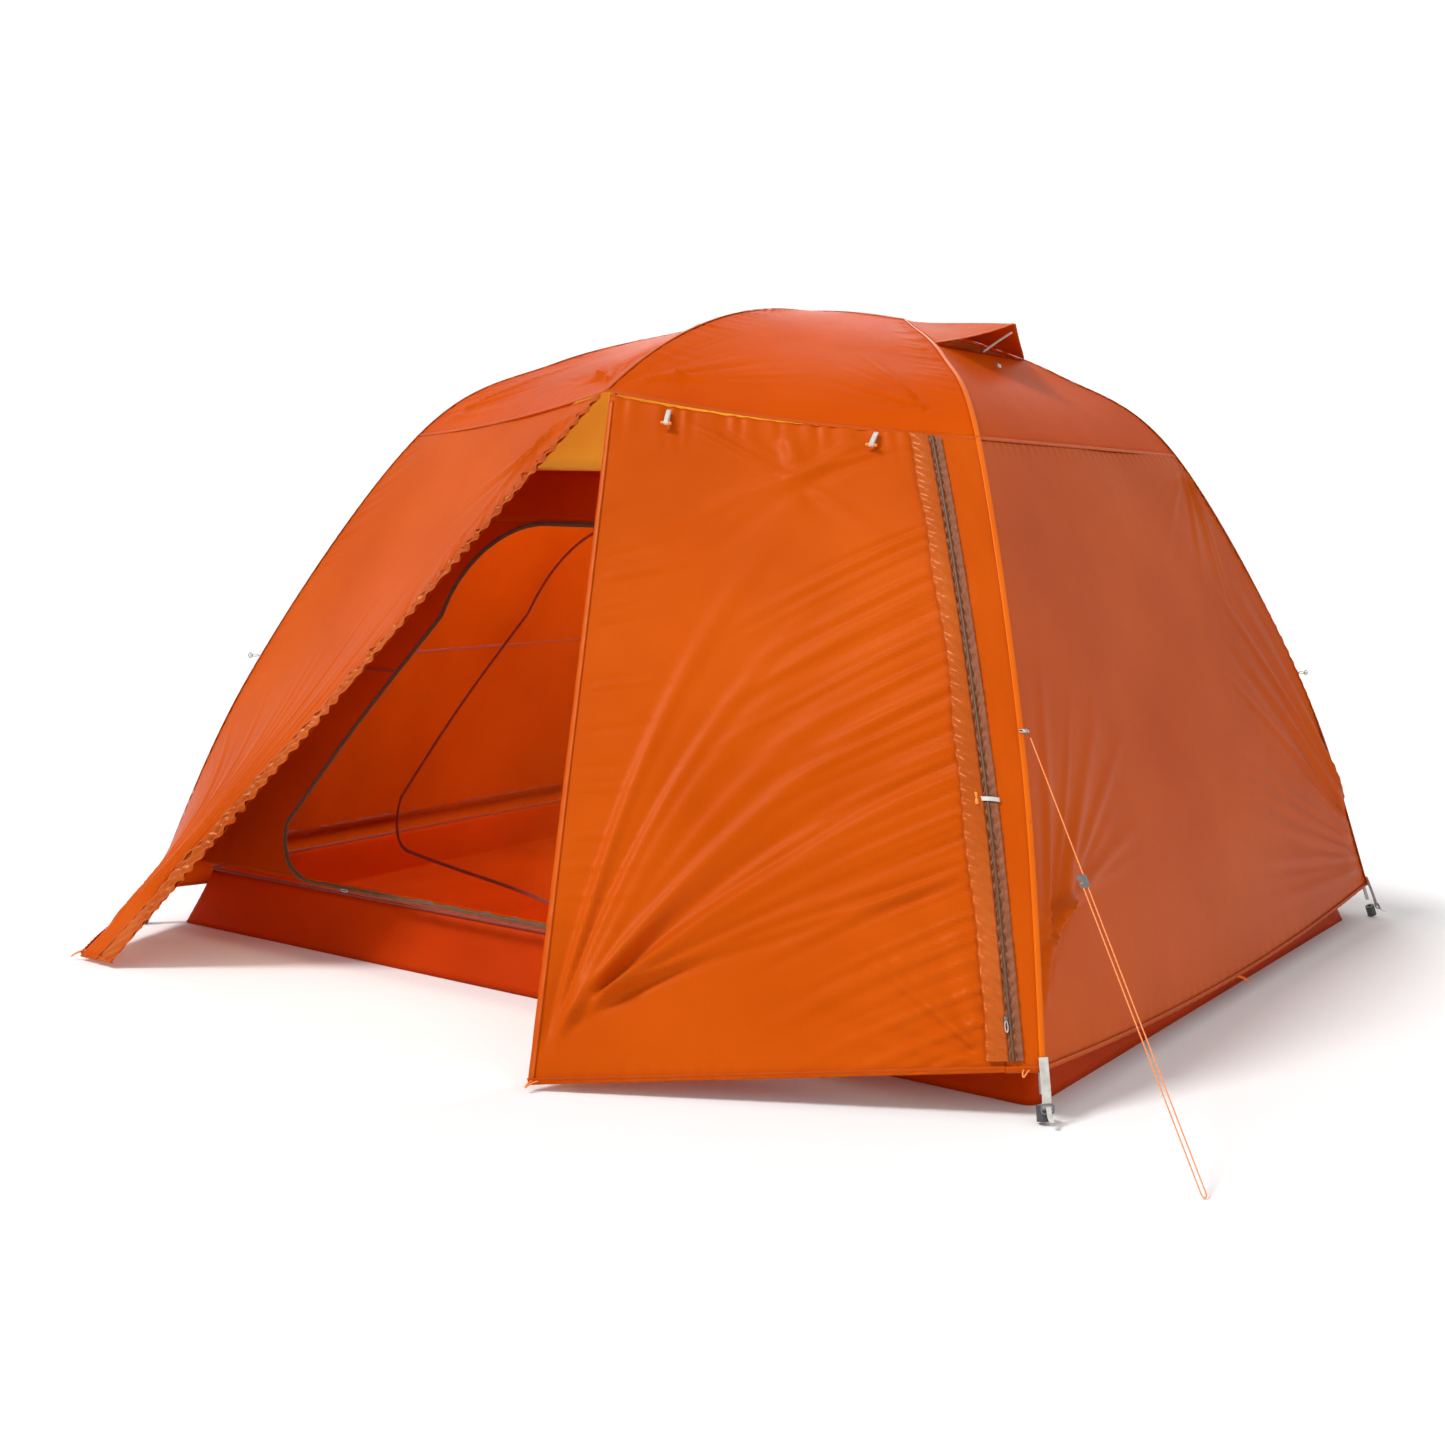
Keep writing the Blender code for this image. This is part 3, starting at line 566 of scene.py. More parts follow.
def tape_look(name, color, roughness=0.7, strength=0.35):
    """Woven tape: fine ribs across its width, with a slightly mottled dye."""
    made, tree, shader = new_material(name)
    place = node(tree, "ShaderNodeTexCoord")
    ribs = node(tree, "ShaderNodeTexWave", Scale=1 / RIB_PITCH / 6.28, Distortion=0.6, Detail=2.0)
    ribs.bands_direction = "Y"
    tree.links.new(place.outputs["UV"], ribs.inputs["Vector"])
    tinted(tree, shader, noise_over(tree, place, Scale=60.0, Detail=3.0), color, 0.82, 1.12)
    bumped(tree, shader, ribs.outputs["Fac"], strength, 0.0004)
    shader.inputs["Roughness"].default_value = roughness
    shader.inputs["Sheen Weight"].default_value = 0.2
    return made


# Camera and light, as the photograph's view


CAMERA_PLACE = Vector((2.671, -4.354, 1.164))
CAMERA_TURN, CAMERA_TILT, CAMERA_ROLL = math.radians(33.67), math.radians(6.88), math.radians(1.49)
CAMERA_LENS = 46.67
ROOM_LIGHT, BACKDROP_LIGHT = 0.55, 1.06


def make_camera():
    data = bpy.data.cameras.new("camera")
    data.lens = CAMERA_LENS
    data.sensor_width = 36.0
    obj = link(bpy.data.objects.new("camera", data))
    right = Vector((math.cos(CAMERA_TURN), math.sin(CAMERA_TURN), 0.0))
    ahead = Vector((-math.sin(CAMERA_TURN), math.cos(CAMERA_TURN), 0.0))
    look = ahead * math.cos(CAMERA_TILT) - UP * math.sin(CAMERA_TILT)
    top = UP * math.cos(CAMERA_TILT) + ahead * math.sin(CAMERA_TILT)
    rolled_right = right * math.cos(CAMERA_ROLL) + top * math.sin(CAMERA_ROLL)
    rolled_top = top * math.cos(CAMERA_ROLL) - right * math.sin(CAMERA_ROLL)
    turn = Matrix((rolled_right, rolled_top, -look)).transposed()
    obj.matrix_world = Matrix.Translation(CAMERA_PLACE) @ turn.to_4x4()
    bpy.context.scene.camera = obj


def area_light(name, place, size, power, color=(1.0, 1.0, 1.0), aim=Vector((0.0, 0.0, 0.8))):
    data = bpy.data.lights.new(name, "AREA")
    data.energy = power
    data.shape = "RECTANGLE"
    data.size, data.size_y = size
    data.color = color
    obj = link(bpy.data.objects.new(name, data))
    obj.location = place
    obj.rotation_euler = (aim - Vector(place)).to_track_quat("-Z", "Y").to_euler()


def make_stage():
    bm = bmesh.new()
    bmesh.ops.create_grid(bm, x_segments=1, y_segments=1, size=30.0)
    floor = smooth_object("floor", bm)
    floor.location.z = -0.0005
    made, _, shader = new_material("pale floor")
    shader.inputs["Base Color"].default_value = (0.93, 0.93, 0.93, 1.0)
    shader.inputs["Roughness"].default_value = 0.85
    floor.data.materials.append(made)
    world = bpy.data.worlds.new("studio")
    world.use_nodes = True
    tree = world.node_tree
    place = node(tree, "ShaderNodeTexCoord")
    towards = node(tree, "ShaderNodeVectorMath", operation="DOT_PRODUCT")
    towards.inputs[1].default_value = (-math.sin(CAMERA_TURN), math.cos(CAMERA_TURN), 0.0)
    tree.links.new(place.outputs["Generated"], towards.inputs[0])
    bright = node(tree, "ShaderNodeMapRange")
    bright.inputs["From Min"].default_value, bright.inputs["From Max"].default_value = 0.55, 0.85
    bright.inputs["To Min"].default_value, bright.inputs["To Max"].default_value = ROOM_LIGHT, BACKDROP_LIGHT
    tree.links.new(towards.outputs["Value"], bright.inputs["Value"])
    tree.links.new(bright.outputs["Result"], tree.nodes["Background"].inputs["Strength"])
    tree.nodes["Background"].inputs["Color"].default_value = (1.0, 1.0, 1.0, 1.0)
    bpy.context.scene.world = world
    bpy.context.scene.view_settings.view_transform = "Standard"
    sun = bpy.data.lights.new("key", "SUN")
    sun.energy, sun.angle = 2.3, math.radians(14)
    key = link(bpy.data.objects.new("key", sun))
    key.rotation_euler = Vector((0.42, 0.52, -0.80)).to_track_quat("-Z", "Y").to_euler()
    area_light("fill", (4.6, -3.4, 1.6), (2.4, 2.4), 34)
    area_light("rim", (-2.5, 4.2, 3.4), (3.0, 2.0), 40)
    area_light("inside", (0.45, 0.10, 1.25), (0.5, 0.7), 26.0, (1.0, 0.97, 0.90), Vector((-1.0, 0.0, 0.50)))


# Fine cloth forms: each starts from a design surface and moves it along its own normal


def wave(x, count, phase=0.0):
    return math.sin(math.tau * (x * count + phase))


def ripple(x, y, scale, seed):
    """Smooth noise from -1 to 1 that repeats exactly for a seed."""
    return noise.noise(Vector((x * scale, y * scale, seed * 7.31)))


def crease(distance, width):
    """A narrow soft ridge across zero distance."""
    return math.exp(-((distance / width) ** 2))


def rays(seed, count, origin, heading, fan, length, width, depth):
    """Creases in metres of cloth, each from near origin(r) along heading, in degrees, within the fan."""
    draw = random.Random(seed)
    made = []
    for i in range(count):
        x, y = origin((i + draw.random()) / count)
        angle = math.radians(heading + fan * ((i + 0.2 + 0.6 * draw.random()) / count - 0.5))
        size = draw.uniform(0.55, 1.0)
        wide = width * draw.uniform(0.6, 1.3)
        deep = depth * size * draw.choice((1.0, 1.0, -0.7))
        made.append((x, y, math.cos(angle), math.sin(angle), length * size, wide, deep))
    return made


def ray_height(made, x, y):
    total = 0.0
    for x0, y0, dx, dy, length, width, depth in made:
        rx, ry = x - x0, y - y0
        along = rx * dx + ry * dy
        if along <= 0 or along >= length:
            continue
        share = along / length
        q = ((rx * dy - ry * dx) / (width * (0.65 + 0.9 * share))) ** 2
        if q < 6:
            total += depth * (1 - 1.1 * q) * math.exp(-q) * ease(share * 7) * (1 - share) ** 1.1
    return total


def edge_puckers(along, distance, count, reach, depth, seed):
    """Short puckers that run square off a sewn edge and fade within reach."""
    if distance > reach:
        return 0.0
    pitch = along * count + 0.8 * ripple(along, 0.0, 9.0, seed)
    uneven = 0.55 + 0.45 * ripple(along, 1.3, 17.0, seed + 1)
    return depth * uneven * math.sin(math.tau * pitch) * (1 - distance / reach) ** 2


def relief(surface, height):
    """The surface moved along its own outward normal by height(u, v)."""

    def moved(u, v):
        return surface(u, v) + normal_at(surface, u, v) * height(u, v)

    return moved


# Ribbons: seam tapes, hems, webbing and zips, laid along a line on the cloth


RIBBON_COLUMNS = 4


def ribbon_mesh(name, line, normal, width, thickness, steps, crown=0.0):
    """A flat band along line(t), its face turned to normal(t); UVs in metres run along it."""
    bm = bmesh.new()
    layer = bm.loops.layers.uv.new("UVMap")
    points = [line(t) for t in spread(0.0, 1.0, steps + 1)]
    lengths = run_lengths(points)
    rows = []
    for i, point in enumerate(points):
        along = (points[min(i + 1, steps)] - points[max(i - 1, 0)]).normalized()
        across, _, up = axes(along, normal(i / steps))
        places = spread(-1.0, 1.0, RIBBON_COLUMNS + 1)
        rows.append([bm.verts.new(point + across * s * width / 2 + up * crown * (1 - s * s)) for s in places])
    skin(bm, layer, rows, lambda row, part: (part / RIBBON_COLUMNS * width, lengths[row]))
    return thicken(smooth_object(name, bm), thickness)


def round_curve(name, points, radius, resolution):
    """A round cord as a curve through the points, with capped ends."""
    curve = bpy.data.curves.new(name, "CURVE")
    curve.dimensions = "3D"
    curve.bevel_depth = radius
    curve.bevel_resolution = resolution
    curve.use_fill_caps = True
    spline = curve.splines.new("POLY")
    spline.points.add(len(points) - 1)
    for made, point in zip(spline.points, points):
        made.co = (*point, 1.0)
    return link(bpy.data.objects.new(name, curve))


def tube_mesh(name, points, radius, resolution=2):
    """A round cord or rod of mesh along the points, with capped ends."""
    rough = round_curve(name + "_curve", points, radius, resolution)
    graph = bpy.context.evaluated_depsgraph_get()
    mesh = bpy.data.meshes.new_from_object(rough.evaluated_get(graph))
    curve = rough.data
    bpy.data.objects.remove(rough, do_unlink=True)
    bpy.data.curves.remove(curve)
    mesh.name = name
    mesh.shade_smooth()
    return link(bpy.data.objects.new(name, mesh))


def turned(normal, way):
    """The normal or its opposite, whichever looks the given way."""
    return normal if normal.dot(way) > 0 else -normal


def axes(along, normal):
    """Unit axes (across, along, normal) made square from a direction and a facing."""
    along = along.normalized()
    normal = (normal - along * normal.dot(along)).normalized()
    return along.cross(normal), along, normal


# Rain fly


CAP_APEX_FOLDS = rays(11, 15, lambda r: (0.01 + 0.10 * r, 0.94 - 0.10 * r), -35, 85, 0.46, 0.010, 0.0075)
CAP_LEG_FOLDS = rays(12, 22, lambda r: (0.92, 0.05 + 0.85 * r), 190, 40, 0.20, 0.009, 0.0052)
CAP_BROW_FOLDS = rays(13, 18, lambda r: (0.0, 0.08 + 0.80 * r), -8, 50, 0.20, 0.009, 0.0044)
CAP_KNEE_FOLDS = rays(14, 12, lambda r: (0.86 - 0.08 * r, 0.90 - 0.06 * r), 215, 70, 0.42, 0.010, 0.0080)
CAP_FOLDS = CAP_APEX_FOLDS + CAP_LEG_FOLDS + CAP_BROW_FOLDS + CAP_KNEE_FOLDS


def cap_front_height(u, v):
    """Taut between the poles: a shallow saddle, puckers off the seams and pulls from the held corners."""
    height = -0.012 * math.sin(math.pi * u) * math.sin(math.pi * v)
    height += edge_puckers(u, 1 - v, 30, 0.12, 0.0016, 3.0)
    height += edge_puckers(v, u, 19, 0.08, 0.0011, 5.0)
    height += edge_puckers(v, 1 - u, 21, 0.08, 0.0013, 8.0)
    return height + ray_height(CAP_FOLDS, 0.92 * u, 0.95 * v) + 0.0010 * ripple(u, v, 7.0, 1.0)


def make_cap(look):
    """The fly's roof: four front panels and two end panels between the poles, sewn into one sheet."""
    parts = []
    for where, end, side in CORNERS:
        surface = relief(lambda u, v, e=end, s=side: cap_front(e, s, u, v), cap_front_height)
        parts.append((where, surface, 84, 84, (0.9, 0.95)))
    for end_name, end in ENDS.items():
        top = 1.0 if end == LEFT else VENT_T
        surface = relief(lambda u, v, e=end, t=top: cap_end(e, t, u, v), cap_end_height)
        parts.append((end_name, surface, 64, 40, (1.1, 0.75)))
    bm = bmesh.new()
    for part in parts:
        mesh = grid_mesh(*part)
        face_outwards(mesh)
        bm.from_mesh(mesh)
        bpy.data.meshes.remove(mesh)
    bmesh.ops.remove_doubles(bm, verts=bm.verts, dist=0.0004)
    obj = thicken(smooth_object("fly_roof", bm))
    face_outwards(obj.data)
    finish_piece(obj, look, TENT, ["fly_cap"])


def cap_end_height(u, v):
    height = -0.014 * math.sin(math.pi * u) * math.sin(math.pi * clamp(v * 1.05))
    height += edge_puckers(u, 1 - v, 30, 0.13, 0.0010, 6.0)
    height += edge_puckers(v, u, 14, 0.12, 0.0009, 9.0)
    height += edge_puckers(v, 1 - u, 14, 0.12, 0.0009, 11.0)
    return height + 0.0005 * ripple(u, v, 8.0, 2.0)


END_CORNER_FOLDS = rays(21, 17, lambda r: (2.20 - 0.05 * r, 1.30 - 0.26 * r), 218, 72, 1.00, 0.018, 0.0130)
END_FAR_FOLDS = rays(22, 13, lambda r: (0.06 + 0.05 * r, 1.28 - 0.22 * r), -38, 66, 0.90, 0.018, 0.0120)
END_SLEEVE_FOLDS = rays(23, 34, lambda r: (2.17, 0.08 + 1.20 * r), 200, 56, 0.23, 0.011, 0.0046)
END_FAR_SLEEVE = rays(24, 26, lambda r: (0.04, 0.10 + 1.10 * r), -20, 56, 0.20, 0.011, 0.0040)
END_KNEE_FOLDS = rays(25, 10, lambda r: (1.78 - 0.10 * r, 0.05 + 0.03 * r), 128, 60, 0.46, 0.014, 0.0060)
END_FOLDS = END_CORNER_FOLDS + END_FAR_FOLDS + END_SLEEVE_FOLDS + END_FAR_SLEEVE + END_KNEE_FOLDS
END_WIDTH, END_TOP_SHARE, END_DROP = 2.24, 0.56, 1.36


def end_height(u, v):
    """An end wall: puckers along the pole sleeves and long diagonal pulls to the staked corners."""
    height = edge_puckers(v, u, 40, 0.06, 0.0018, 12.0) + edge_puckers(v, 1 - u, 44, 0.06, 0.0024, 14.0)
    height += edge_puckers(u, v, 34, 0.06, 0.0014, 16.0) + edge_puckers(u, 1 - v, 44, 0.05, 0.0018, 17.0)
    across = END_WIDTH * (0.5 + (u - 0.5) * mix(END_TOP_SHARE, 1.0, v))
    height += ray_height(END_FOLDS, across, END_DROP * v)
    return height + 0.0028 * ripple(u, v, 4.0, 3.0)


def make_fly_end(end_name, end, look):
    fly_panel(f"fly_end_wall_{end_name}", lambda u, v: end_panel(end, u, v), end_height, 200, 130, 2.30,
              look, TENT, f"fly_end_{end_name}")


LEFT_FLAP_FOLDS = rays(31, 60, lambda r: (1.20, 0.06 + 1.50 * r), 222, 40, 0.24, 0.010, 0.0085)
LEFT_FOOT_FOLDS = rays(32, 18, lambda r: (0.90 + 0.26 * r, 1.56 - 0.10 * r), 238, 74, 1.10, 0.018, 0.0130)
LEFT_LEG_FOLDS = rays(33, 24, lambda r: (0.02, 0.12 + 1.10 * r), -12, 52, 0.22, 0.012, 0.0042)
LEFT_TOP_FOLDS = rays(34, 10, lambda r: (1.05 + 0.12 * r, 0.03), 118, 60, 0.50, 0.014, 0.0062)
LEFT_FOLDS = LEFT_FLAP_FOLDS + LEFT_FOOT_FOLDS + LEFT_LEG_FOLDS + LEFT_TOP_FOLDS


def left_panel_height(u, v):
    """The fixed vestibule panel: wrinkles along its free storm flap, and fans from its held corners."""
    height = edge_puckers(v, 1 - u, 52, 0.07, 0.0034, 20.0) + edge_puckers(v, u, 40, 0.06, 0.0018, 22.0)
    height += edge_puckers(u, 1 - v, 36, 0.05, 0.0018, 23.0)
    height += ray_height(LEFT_FOLDS, 1.22 * u, 1.62 * v)
    height -= 0.022 * math.sin(math.pi * u) * math.sin(math.pi * v)
    return height + 0.0030 * ripple(u, v, 4.0, 6.0)


def make_left_panel(side_name, side, look):
    fly_panel(f"{side_name}_vestibule_wall", lambda u, v: vestibule_left(side, u, v), left_panel_height,
              130, 180, 1.62, look, TENT, f"{side_name}_vestibule_panel")


DOOR_FAN_FOLDS = rays(41, 24, lambda r: (0.02 + 0.05 * r, 1.54 - 0.12 * r), -58, 62, 1.25, 0.019, 0.0115)
DOOR_ZIP_FOLDS = rays(42, 34, lambda r: (0.20 + 0.60 * (0.16 + 0.82 * r), 1.58 * (0.16 + 0.82 * r)), 134, 34,
                      0.42, 0.012, 0.0082)
DOOR_EDGE_FOLDS = rays(43, 14, lambda r: (0.01, 0.30 + 1.00 * r), -20, 50, 0.16, 0.012, 0.0038)
DOOR_TOP_FOLDS = rays(44, 9, lambda r: (0.04 + 0.20 * r, 0.03), 84, 70, 0.42, 0.013, 0.0060)
DOOR_FOOT_FOLDS = rays(45, 9, lambda r: (0.77 - 0.05 * r, 1.56 - 0.05 * r), 222, 60, 0.55, 0.018, 0.0090)
DOOR_FOLDS = DOOR_FAN_FOLDS + DOOR_ZIP_FOLDS + DOOR_EDGE_FOLDS + DOOR_TOP_FOLDS + DOOR_FOOT_FOLDS


def door_height(u, v):
    """The right door panel: long folds fanning from the staked corner, oblique pulls off the zip."""
    height = edge_puckers(v, u, 22, 0.05, 0.0016, 24.0) + edge_puckers(v, 1 - u, 50, 0.07, 0.0030, 27.0)
    height += edge_puckers(u, v, 16, 0.10, 0.0030, 26.0) + edge_puckers(u, 1 - v, 24, 0.04, 0.0016, 28.0)
    height += ray_height(DOOR_FOLDS, u * mix(0.20, 0.80, v), 1.58 * v)
    height -= 0.030 * math.sin(math.pi * u) * math.sin(math.pi * v) * (1 - 0.5 * v)
    return height + 0.0030 * ripple(u, v, 3.5, 9.0)


def make_door(side_name, side, look):
    fly_panel(f"{side_name}_fly_door", lambda u, v: door_panel(side, u, v), door_height, 150, 230,
              lambda width: 1.35 * width, look, AWNINGS[side], f"{side_name}_door_panel")


def strip_height(u, v):
    """The strip between the zip and the leg, with the storm flap's crinkles at its zip edge."""
    height = edge_puckers(v, u, 52, 0.55, 0.0022, 30.0)
    return height + 0.0010 * ripple(u, v * 6, 4.0, 11.0)


def make_strip(side_name, side, look):
    fly_panel(f"{side_name}_leg_strip", lambda u, v: zip_strip(side, mix(0.02, 1.0, u), v), strip_height,
              24, 220, lambda width: 1.3 * width, look, TENT, f"{side_name}_zip_strip")


MIDDLE_RIGHT_FOLDS = rays(51, 14, lambda r: (1.24 - 0.06 * r, 1.50 - 0.10 * r), 232, 60, 1.0, 0.024, 0.0110)
MIDDLE_LEFT_FOLDS = rays(52, 12, lambda r: (0.05 + 0.06 * r, 1.50 - 0.12 * r), -52, 60, 0.90, 0.024, 0.0110)
MIDDLE_FOLDS = MIDDLE_RIGHT_FOLDS + MIDDLE_LEFT_FOLDS


def middle_height(u, v):
    height = edge_puckers(v, u, 40, 0.08, 0.0024, 33.0) + edge_puckers(v, 1 - u, 44, 0.08, 0.0026, 34.0)
    height += ray_height(MIDDLE_FOLDS, 0.65 + 1.30 * (u - 0.5) * v, 1.56 * v)
    height -= 0.016 * math.sin(math.pi * u) * math.sin(math.pi * v)
    return height * ease(v / 0.2) + 0.0020 * ripple(u, v, 5.0, 12.0)


def make_far_middle(look):
    fly_panel("far_middle_door", lambda u, v: middle_panel(FAR, u, mix(0.012, 1.0, v)), middle_height,
              110, 110, 1.40, look, FAR_AWNING, "far_door_middle")


# The rolled middle panel of the near door: a spiral of cloth, looser towards its foot


ROLL_TOP_V, ROLL_FOOT_V = 0.10, 0.96
ROLL_TOP_R, ROLL_FOOT_R = 0.016, 0.030
ROLL_ROOM = 0.010
ROLL_TURNS = 3.2


def panel_facing(side, v):
    """The outward normal of the right vestibule panels beside the zip."""
    down = zip_line(side, v + 0.02) - zip_line(side, v - 0.02)
    across = leg(RIGHT, side, mix(KNEE_T, HEM_T, v)) - door_edge(side, v)
    normal = down.cross(across).normalized()
    return normal if normal.y * side > 0 else -normal


def roll_frame(v, radius):
    across = (zip_line(NEAR, v) - door_edge(NEAR, v)).normalized()
    behind = -panel_facing(NEAR, v)
    middle = door_edge(NEAR, v) + across * radius + behind * (radius + ROLL_ROOM)
    return middle, across, behind


def roll_surface(u, v):
    place = mix(ROLL_TOP_V, ROLL_FOOT_V, v)
    full = mix(ROLL_TOP_R, ROLL_FOOT_R, v)
    middle, across, behind = roll_frame(place, full)
    angle = math.tau * ROLL_TURNS * u
    radius = full * mix(0.30, 0.97, u) * (1 + 0.05 * ripple(u * 3, v * 9, 3.0, 14.0))
    tie = 1 - 0.24 * crease(v - 0.52, 0.030)
    return middle + (across * math.cos(angle) + behind * math.sin(angle)) * radius * tie


def make_roll(look):
    """The rolled door's turns. They hold about a third of the cloth that the open panel has."""
    mesh = grid_mesh("near_rolled_panel", roll_surface, 90, 150, (0.75, 1.5))
    obj = thicken(link(bpy.data.objects.new("near_rolled_panel", mesh)), THIN_CLOTH)
    finish_piece(obj, look, NEAR_AWNING, ["near_rolled_door"])


# Guyline at the near right corner


LINE_R = 0.00125
LINE_TOP = Vector((1.1420, -0.9600, 0.7060))
LINE_STAKE = Vector((1.6700, -1.3300, 0.0080))
LINE_SPACING = 0.0100
LINE_DOUBLE_FROM = 0.300
LINE_RUN = (LINE_STAKE - LINE_TOP).normalized()
LINE_BESIDE = Vector((LINE_RUN.y, -LINE_RUN.x, 0.0)).normalized()


def line_route():
    """Down from the guyout, round the staked loop, and back up to the tensioner."""
    down = [LINE_TOP + LINE_RUN * s for s in spread(0.0, (LINE_STAKE - LINE_TOP).length, 18)]
    middle = LINE_STAKE + LINE_BESIDE * LINE_SPACING / 2
    turn = []
    for angle in spread(0.0, math.pi, 9)[1:-1]:
        aside = -LINE_BESIDE * LINE_SPACING / 2 * math.cos(angle)
        point = middle + aside + LINE_RUN * LINE_SPACING * 0.8 * math.sin(angle)
        point.z = max(point.z, LINE_R + 0.0006)
        turn.append(point)
    beside = LINE_BESIDE * LINE_SPACING
    back = [point + beside for point in reversed(down) if (point - LINE_TOP).length > LINE_DOUBLE_FROM]
    return down + turn + back


def make_guyline(look, hardware):
    route = line_route()
    obj = finish_piece(round_curve("guyline_cord", route, LINE_R, 3), look, TENT, ["guyline"])
    knot = finish_piece(make_knot("guyline_knot", route[-1] - LINE_RUN * 0.001), look, TENT)
    round(run_lengths(route)[-1], 3)
    dress(["guyline_tensioner"], hardware)


def make_knot(name, place):
    """A stopper knot: one overhand turn of the cord, drawn as a tight trefoil."""
    points = []
    for a in spread(0.0, math.tau, 40):
        x, y = math.sin(a) + 2 * math.sin(2 * a), math.cos(a) - 2 * math.cos(2 * a)
        trefoil = Vector((x, y, -math.sin(3 * a)))
        points.append(place + trefoil * 0.0012)
    return tube_mesh(name, points, LINE_R, 3)


# Inner tent


FLOOR_X, FLOOR_Y = 1.235, 1.070
TUB_HEIGHT, TUB_LEAN = 0.145, 0.052
INNER_SAG = 0.012
CEILING_DROP = 0.085
DOOR_AJAR = math.radians(20.0)
DOOR_AXIS_Y = 0.620
DOOR_GAP = 0.0045
NET_Z = 0.700
ZIP_TAPE = 0.014
INNER_TOP_Z = inner_leg(LEFT, NEAR, INNER_TOP_T).z
INNER_FOOT_Z = inner_leg(LEFT, NEAR, INNER_FOOT_T).z


def inner_t_at(height):
    """The leg station whose inner corner line stands at this height."""
    low, high = 0.0, INNER_TOP_T + 0.05
    for _ in range(22):
        middle = (low + high) / 2
        if inner_leg(LEFT, NEAR, middle).z < height:
            low = middle
        else:
            high = middle
    return low


STATION_COUNT = 240
STATION_TABLE = [
    inner_leg(RIGHT, FAR, inner_t_at(z)) for z in spread(INNER_FOOT_Z, INNER_TOP_Z, STATION_COUNT)
]


def inner_corner(z):
    """The inner corner line at a height, as (x, y) in the +X +Y quarter."""
    place = clamp((z - INNER_FOOT_Z) / (INNER_TOP_Z - INNER_FOOT_Z)) * (STATION_COUNT - 1)
    i = min(int(place), STATION_COUNT - 2)
    point = mix(STATION_TABLE[i], STATION_TABLE[i + 1], place - i)
    return point.x, point.y


def door_left_x(z):
    """The curved edge of the D-shaped door at a height."""
    if z < DOOR_SILL + DOOR_LOW_R:
        rise = clamp((DOOR_SILL + DOOR_LOW_R - z) / DOOR_LOW_R)
        return DOOR_LEFT + DOOR_LOW_R * (1 - math.sqrt(1 - rise * rise))
    if z > DOOR_TOP - DOOR_HIGH_R:
        rise = clamp((z - DOOR_TOP + DOOR_HIGH_R) / DOOR_HIGH_R)
        return DOOR_TOP_LEFT + DOOR_HIGH_R * (1 - math.sqrt(1 - rise * rise))
    low, high = DOOR_SILL + DOOR_LOW_R, DOOR_TOP - DOOR_HIGH_R
    return mix(DOOR_LEFT, DOOR_TOP_LEFT, (z - low) / (high - low))


def wall_relief(x, z, side):
    """Slack in a side wall: shallow folds off the tub seam and the zip."""
    low = edge_puckers(x, z - INNER_FOOT_Z, 15, 0.22, 0.0030, 40.0 + side)
    zip_side = edge_puckers(z, abs(x - door_left_x(z)), 17, 0.10, 0.0016, 44.0)
    hung = 0.0030 * math.sin(x * 9 + 4 * z) * math.sin(math.pi * clamp((z - 0.2) / 0.9))
    return low + zip_side + 0.4 * hung


def side_wall_point(side, x, z):
    _, y = inner_corner(z)
    return Vector((x, side * (y + wall_relief(x, z, side)), z))


def outline_rows(count):
    """Heights from the door's sill to its top, closer together on its two curves."""
    low_end, high_start = DOOR_SILL + DOOR_LOW_R, DOOR_TOP - DOOR_HIGH_R
    curve = [1 - math.cos(a) for a in spread(0.0, math.pi / 2, count)]
    low = [DOOR_SILL + DOOR_LOW_R * c for c in curve]
    high = [DOOR_TOP - DOOR_HIGH_R * c for c in reversed(curve)]
    return low + spread(low_end, high_start, 2 * count)[1:-1] + high


def block(bm, layer, columns, heights, left, right, surface):
    """A grid of cloth between x = left(z) and right(z) at the given heights, netting from NET_Z up."""
    places = [[(x, z) for x in spread(left(z), right(z), columns)] for z in heights]
    rows = [[bm.verts.new(surface(x, z)) for x, z in row] for row in places]
    for face in skin(bm, layer, rows, lambda row, part: places[row][part]):
        face.material_index = 0 if face.calc_center_median().z < NET_Z else 1


def split_rows(rows):
    """The heights with the solid cloth's top edge added, so that the netting starts in a clean line."""
    if rows[0] < NET_Z < rows[-1]:
        rows = sorted([*(z for z in rows if abs(z - NET_Z) > 0.004), NET_Z])
    return rows


def joined_cloth(name, build, looks, body, replaces):
    bm = bmesh.new()
    layer = bm.loops.layers.uv.new("UVMap")
    build(bm, layer)
    bmesh.ops.remove_doubles(bm, verts=bm.verts, dist=0.0002)
    obj = thicken(smooth_object(name, bm))
    face_outwards(obj.data)
    finish_piece(obj, looks[0], body, replaces)
    for look in looks[1:]:
        obj.data.materials.append(look)
    return obj


def make_side_wall(side_name, side, solid, net):
    def surface(x, z):
        return side_wall_point(side, x, z)

    def wall_right(z):
        return inner_corner(z)[0] - 0.004

    def wall_left(z):
        return -wall_right(z)

    def build(bm, layer):
        middle = split_rows(outline_rows(12))
        block(bm, layer, 34, middle, wall_left, door_left_x, surface)
        block(bm, layer, 34, middle, lambda z: DOOR_RIGHT, wall_right, surface)
        block(bm, layer, 120, spread(INNER_FOOT_Z, DOOR_SILL, 6), wall_left, wall_right, surface)
        block(bm, layer, 120, spread(DOOR_TOP, INNER_TOP_Z, 8), wall_left, wall_right, surface)

    name = f"{side_name}_side_wall"
    obj = joined_cloth(name, build, [solid, net], TENT, [f"inner_wall_{side_name}"])


